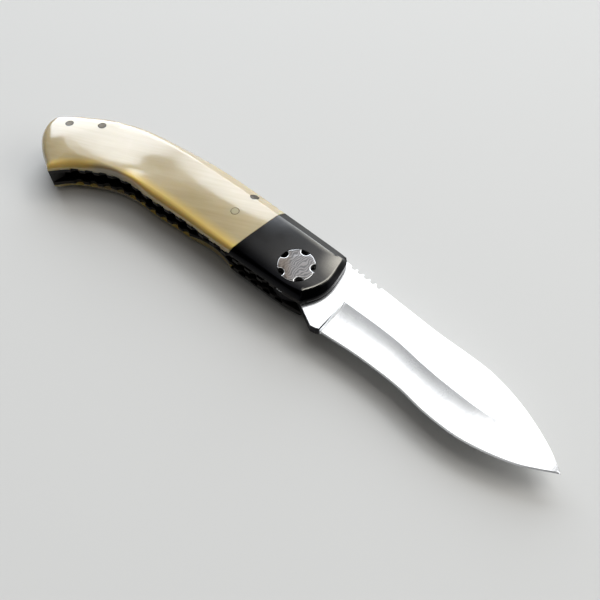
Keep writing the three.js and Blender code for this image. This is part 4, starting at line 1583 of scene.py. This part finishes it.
@dataclass
class Blade:
    """Hollow-ground blade with its tang, thumb notches and choil."""

    spine: Rows = (
        (8.0, 13.9), (24.6, 13.1), (34.7, 12.4), (46.2, 11.7), (56.8, 11.5), (63.9, 11.1),
        (71.4, 9.65), (79.3, 7.1), (88.1, 2.75), (94.8, -1.9),
    )
    edge: Rows = (
        (94.8, -1.9), (89.4, -4.95), (84.7, -7.35), (76.9, -9.85), (68.4, -11.45), (62.0, -11.65),
        (55.0, -11.2), (47.2, -10.05), (39.8, -9.65), (29.3, -9.75), (18.9, -10.5),
    )
    grind: Rows = (
        (17.4, 1.9), (31.3, 1.8), (38.9, 1.4), (46.9, 0.3), (54.5, -0.5), (61.5, -0.9),
        (68.3, -1.0), (74.3, -0.3), (80.1, 0.8), (84.0, 2.2), (87.5, 4.0),
    )
    ricasso_corner: tuple[float, float] = (14.9, -11.3)
    choil: tuple[float, float] = (17.7, -11.6)
    choil_radius: float = 1.1
    plunge_x: float = 17.6
    plunge_length: float = 0.8
    hollow_depth: float = 0.32
    edge_thickness: float = 0.36
    edge_bevel: float = 0.55
    keen: float = 0.04
    tip_thickness: float = 1.3
    taper_from: float = 52.0
    least_grind: float = 0.3
    tip_slope: float = 0.13
    jimping_first: float = 12.3
    jimping_pitch: float = 2.55
    jimping_count: int = 5
    jimping_radius: float = 0.95
    closed: float = 173.0
    tang_radius: float = 8.1
    tang_top: Rows = ((-2.0, 12.4), (3.0, 13.7))
    shoulder_length: float = 3.4
    dimple_radius: float = 0.56
    broken_edge: float = 0.12
    spacing: float = 0.4
    section_pitch: float = 0.5
    plunge_sections: int = 17
    hollow_points: int = 15
    edge_sink: float = 0.02
    margin: float = 0.1
    crisp_turn: float = 9.0
    upright: float = 0.3
    far_out: float = 60.0
    finish: Finish = BLADE_STEEL
    tang_shade: Finish = TANG_SHADE

    def tang(self) -> np.ndarray:
        """Outline of the tang, from the ricasso's corner round to the spine.

        Returns:
            Plan points: the kick, the lock notch, the stop's shoulder and the tang's top.
        """
        stop = polar(FITTINGS.stop_orbit, FITTINGS.stop_at)
        touch = FITTINGS.stop_radius + FITTINGS.run_fit
        shoulder = FITTINGS.stop_at - math.degrees(math.asin(touch / FITTINGS.stop_orbit))
        corner = np.array(self.ricasso_corner)
        way = turned_about(stop, self.closed) - corner
        lean = math.atan2(way[1], way[0]) - math.asin(touch / np.hypot(*way))
        line = np.array([math.cos(lean), math.sin(lean)])
        along = float(corner @ line)
        kick = corner + line * (-along - math.sqrt(along**2 - corner @ corner + self.tang_radius**2))
        notch_x, notch_top = LEAF.face_x, LEAF.face_top
        low = -math.sqrt(self.tang_radius**2 - notch_x**2)
        left = -math.sqrt(self.tang_radius**2 - notch_top**2)
        angles = [math.degrees(math.atan2(y, x)) for x, y in (kick, (notch_x, low), (left, notch_top))]
        top = smooth(
            (
                tuple(polar(self.tang_radius + self.shoulder_length, shoulder)),
                *self.tang_top,
                self.spine[0],
            ),
            self.spacing,
        )
        return np.vstack(
            [
                corner,
                arc((0, 0), self.tang_radius, angles[0], angles[1], 40),
                (notch_x, notch_top),
                arc((0, 0), self.tang_radius, angles[2], shoulder - 360, 48),
                top,
            ]
        )

    def outline(self) -> np.ndarray:
        """Closed outline of the blade and its tang, seen from the near side."""
        spine, edge = smooth(self.spine, self.spacing), smooth(self.edge, self.spacing)
        return np.vstack([spine[1:], edge[1:], self.tang()])

    def envelope(self) -> Draft:
        """Draft of the space that the hollow grinds leave for the blade.

        Returns:
            A body of sections along the blade, much wider than it.
        """
        spine, edge, grind = (smooth(rows, FINE) for rows in (self.spine, self.edge, self.grind))
        tip_x = self.spine[-1][0]
        thickness = LEVELS.blade_high - LEVELS.blade_low
        middle = (LEVELS.blade_high + LEVELS.blade_low) / 2

        def section(x: float, ground: float) -> np.ndarray:
            """Closed section at x, ground to a share of the full depth."""
            taper = float(smoothstep(x, self.taper_from, tip_x))
            low = float(height_of(edge, x)) - self.edge_sink
            high = max(min(float(height_of(grind, x)), float(height_of(spine, x))), low + self.least_grind)
            thick = lerp(thickness, self.tip_thickness, taper) / 2
            thick = lerp(thick, min(thick, self.edge_thickness / 2 + self.tip_slope * (high - low)), ground)
            thin = lerp(thick, self.edge_thickness / 2, ground)
            start = low + (self.edge_bevel if high > low + 2 * self.edge_bevel else self.margin)
            half = [(self.far_out, thick), (high + self.margin, thick), (high, thick)]
            for u in np.linspace(0, 1, self.hollow_points)[1:]:
                sag = ground * self.hollow_depth * math.sqrt(1 - taper) * 4 * u * (1 - u)
                half.append((lerp(high, start, u), lerp(thick, thin, u) - sag))
            keen = lerp(thick, self.keen / 2, ground)
            half += [(low, keen), (-self.far_out, keen)]
            return np.array([(x, y, middle + z) for y, z in half + [(y, -z) for y, z in half[::-1]]])

        shares = np.linspace(0, 1, self.plunge_sections)
        plunge = [section(self.plunge_x + self.plunge_length * s, 1 - (1 - s) ** 2) for s in shares]
        pitch = self.section_pitch
        rest = np.arange(self.plunge_x + self.plunge_length + pitch, tip_x - self.margin, pitch)
        sections = [section(-self.far_out, 0.0), *plunge, *(section(x, 1.0) for x in rest)]
        sections += [section(tip_x, 1.0), section(tip_x + FITTINGS.overcut, 1.0)]
        return lofted(np.array(sections))

    def build(self) -> Thing:
        """Grinds, drills and notches the blade."""
        draft = extruded(self.outline(), LEVELS.blade_low, LEVELS.blade_high, self.broken_edge)
        made = from_bmesh("blade", draft)
        carve(made, from_bmesh("grinds", self.envelope()), "INTERSECT")
        low, high = LEVELS.blade_low - FITTINGS.overcut, LEVELS.blade_high + FITTINGS.overcut
        dimple_low = LEVELS.blade_high - LEAF.ball_stand_out
        holes = [
            cylinder((0, 0), FITTINGS.barrel_radius + FITTINGS.run_fit, low, high),
            cylinder(self.choil, self.choil_radius, low, high, 64),
            cylinder(turned_about(LEAF.ball_place, self.closed), self.dimple_radius, dimple_low, high, 40),
        ]
        carve(made, from_bmesh("holes", joined(holes)))
        spine = smooth(self.spine, FINE)
        first = float(np.interp(self.jimping_first, spine[:, 0], lengths_along(spine)))
        row = Repeat(spine, first, self.jimping_pitch, self.jimping_count)
        notch = cylinder((0, 0), self.jimping_radius, low, high, 40)
        carve(made, row.of("thumb_notches", notch, self.finish))
        weigh_normals(made, self.crisp_turn)
        # The side faces of the tang and the ricasso's lower edge get the dark grey painted shade.
        for face in made.data.polygons:
            centre, normal = face.center / MM, face.normal
            behind = centre.x < self.choil[0] + self.choil_radius
            on_side = abs(normal.z) < self.upright
            face.material_index = int(behind and on_side and (centre.y < 0 or centre.x < 0))
        finishes = [self.finish.material(), self.tang_shade.material()]
        return dress(made, finishes, "blade", ["blade"])


@dataclass
class Studio:
    """Camera, floor and lights. Azimuths are measured rightwards from the picture's up."""

    target: tuple[float, float, float] = (0.00348, -0.00245, 0.0)
    distance: float = 0.21865
    azimuth: float = 40.4
    elevation: float = 59.0
    lens: float = 40.8
    lamp_distance: float = 3.0
    floor_size: float = 6.0
    floor_colour: str = "d1cfca"
    floor_bounce: str = "504f4d"
    floor_gap: float = 0.00005
    floor_roughness: float = 0.85
    ambient: float = 0.07

    def direction(self, azimuth: float, elevation: float) -> Vector:
        """Direction from the knife to what is seen at an azimuth and an elevation."""
        turn, rise = math.radians(self.azimuth - azimuth), math.radians(elevation)
        return Vector((-math.sin(turn) * math.cos(rise), math.cos(turn) * math.cos(rise), math.sin(rise)))

    def camera(self) -> Thing:
        """Places the camera at the photograph's view."""
        data = bpy.data.cameras.new("camera")
        data.lens, data.sensor_width, data.clip_start = self.lens, 36.0, 0.01
        made = new_object("camera", data)
        way = self.direction(180, self.elevation)
        made.location = Vector(self.target) + way * self.distance
        made.rotation_euler = (-way).to_track_quat("-Z", "Y").to_euler()
        bpy.context.scene.camera = made
        return made

    def window(
        self,
        name: str,
        middle: tuple[float, float],
        span: tuple[float, float],
        roll: float,
        radiance: float,
        colour: str = "ffffff",
    ) -> Thing:
        """Adds a soft window-like light.

        Args:
            name: Its name.
            middle: Azimuth and elevation of its middle.
            span: Degrees that its width and height take up, seen from the knife.
            roll: Degrees by which it is turned in its own plane.
            radiance: How bright it looks, where 1 is a white sheet.
            colour: Its colour.

        Returns:
            The light.
        """
        data = bpy.data.lights.new(name, "AREA")
        data.shape = "RECTANGLE"
        data.size, data.size_y = (2 * self.lamp_distance * math.tan(math.radians(a) / 2) for a in span)
        data.energy = radiance * math.pi * data.size * data.size_y
        data.color = srgb(colour)[:3]
        made = new_object(name, data)
        way = self.direction(*middle)
        right = self.direction(middle[0] + 90, 0)
        up = way.cross(right) * (1 if way.cross(right).z > 0 else -1)
        turn = math.radians(roll)
        across = right * math.cos(turn) + up * math.sin(turn)
        made.matrix_world = Matrix.Translation(Vector(self.target) + way * self.lamp_distance) @ Matrix(
            (across, way.cross(across), way)
        ).transposed().to_4x4()
        return made

    def floor(self) -> Thing:
        """Lays the pale floor under the knife."""
        draft = bmesh.new()
        bmesh.ops.create_grid(draft, x_segments=1, y_segments=1, size=self.floor_size / 2)
        mesh = bpy.data.meshes.new("floor")
        draft.to_mesh(mesh)
        draft.free()
        made = new_object("floor", mesh)
        made.location.z = -self.floor_gap
        material = bpy.data.materials.new("Pale matt floor")
        material.use_nodes = True
        tree = material.node_tree
        shader = tree.nodes["Principled BSDF"]
        rays = add(tree, "ShaderNodeLightPath").outputs
        seen = rays["Is Camera Ray"]
        for kind in ("Is Glossy Ray", "Is Transmission Ray"):
            seen = add(tree, "ShaderNodeMath", {0: seen, 1: rays[kind]}, operation="MAXIMUM").outputs[0]
        colour = mix(tree, seen, self.floor_bounce, self.floor_colour)
        tree.links.new(colour, shader.inputs["Base Color"])
        shader.inputs["Roughness"].default_value = self.floor_roughness
        mesh.materials.append(material)
        return made

    def build(self) -> None:
        """Sets up the whole studio."""
        scene = bpy.context.scene
        scene.view_settings.view_transform = "Standard"
        self.camera()
        self.floor()
        self.window("window_right", (37, 62), (40, 44), 20, 2.2)
        self.window("window_left", (-1, 27), (64, 42.5), 13, 4.7, "ecf4ff")
        self.window("side_window", (92, 25), (44, 30), 0, 2.6)
        self.window("ceiling_panel", (180, 88), (32, 50), 0, 0.45)
        self.window("far_lamp", (62, 45), (14, 14), 0, 6.0)
        world = bpy.data.worlds.new("studio")
        scene.world = world
        world.use_nodes = True
        back = world.node_tree.nodes["Background"]
        back.inputs["Color"].default_value = (1, 1, 1, 1)
        back.inputs["Strength"].default_value = self.ambient


def main() -> None:
    """Builds the studio and every piece of the knife."""
    logging.basicConfig(level=logging.INFO, format="%(name)s: %(message)s")
    Studio().build()
    Blade().build()
    relief = Relief()
    for side in Side:
        Bolster(side).build()
        Scale(side, relief).build()
        Liner(side, relief).build()
    leaf = LockLeaf()
    leaf.build()
    leaf.build_ball()
    BackSpacer().build()
    HandlePins().build()
    Pivot().build()
    BolsterScrews().build()


if __name__ == "__main__":
    main()
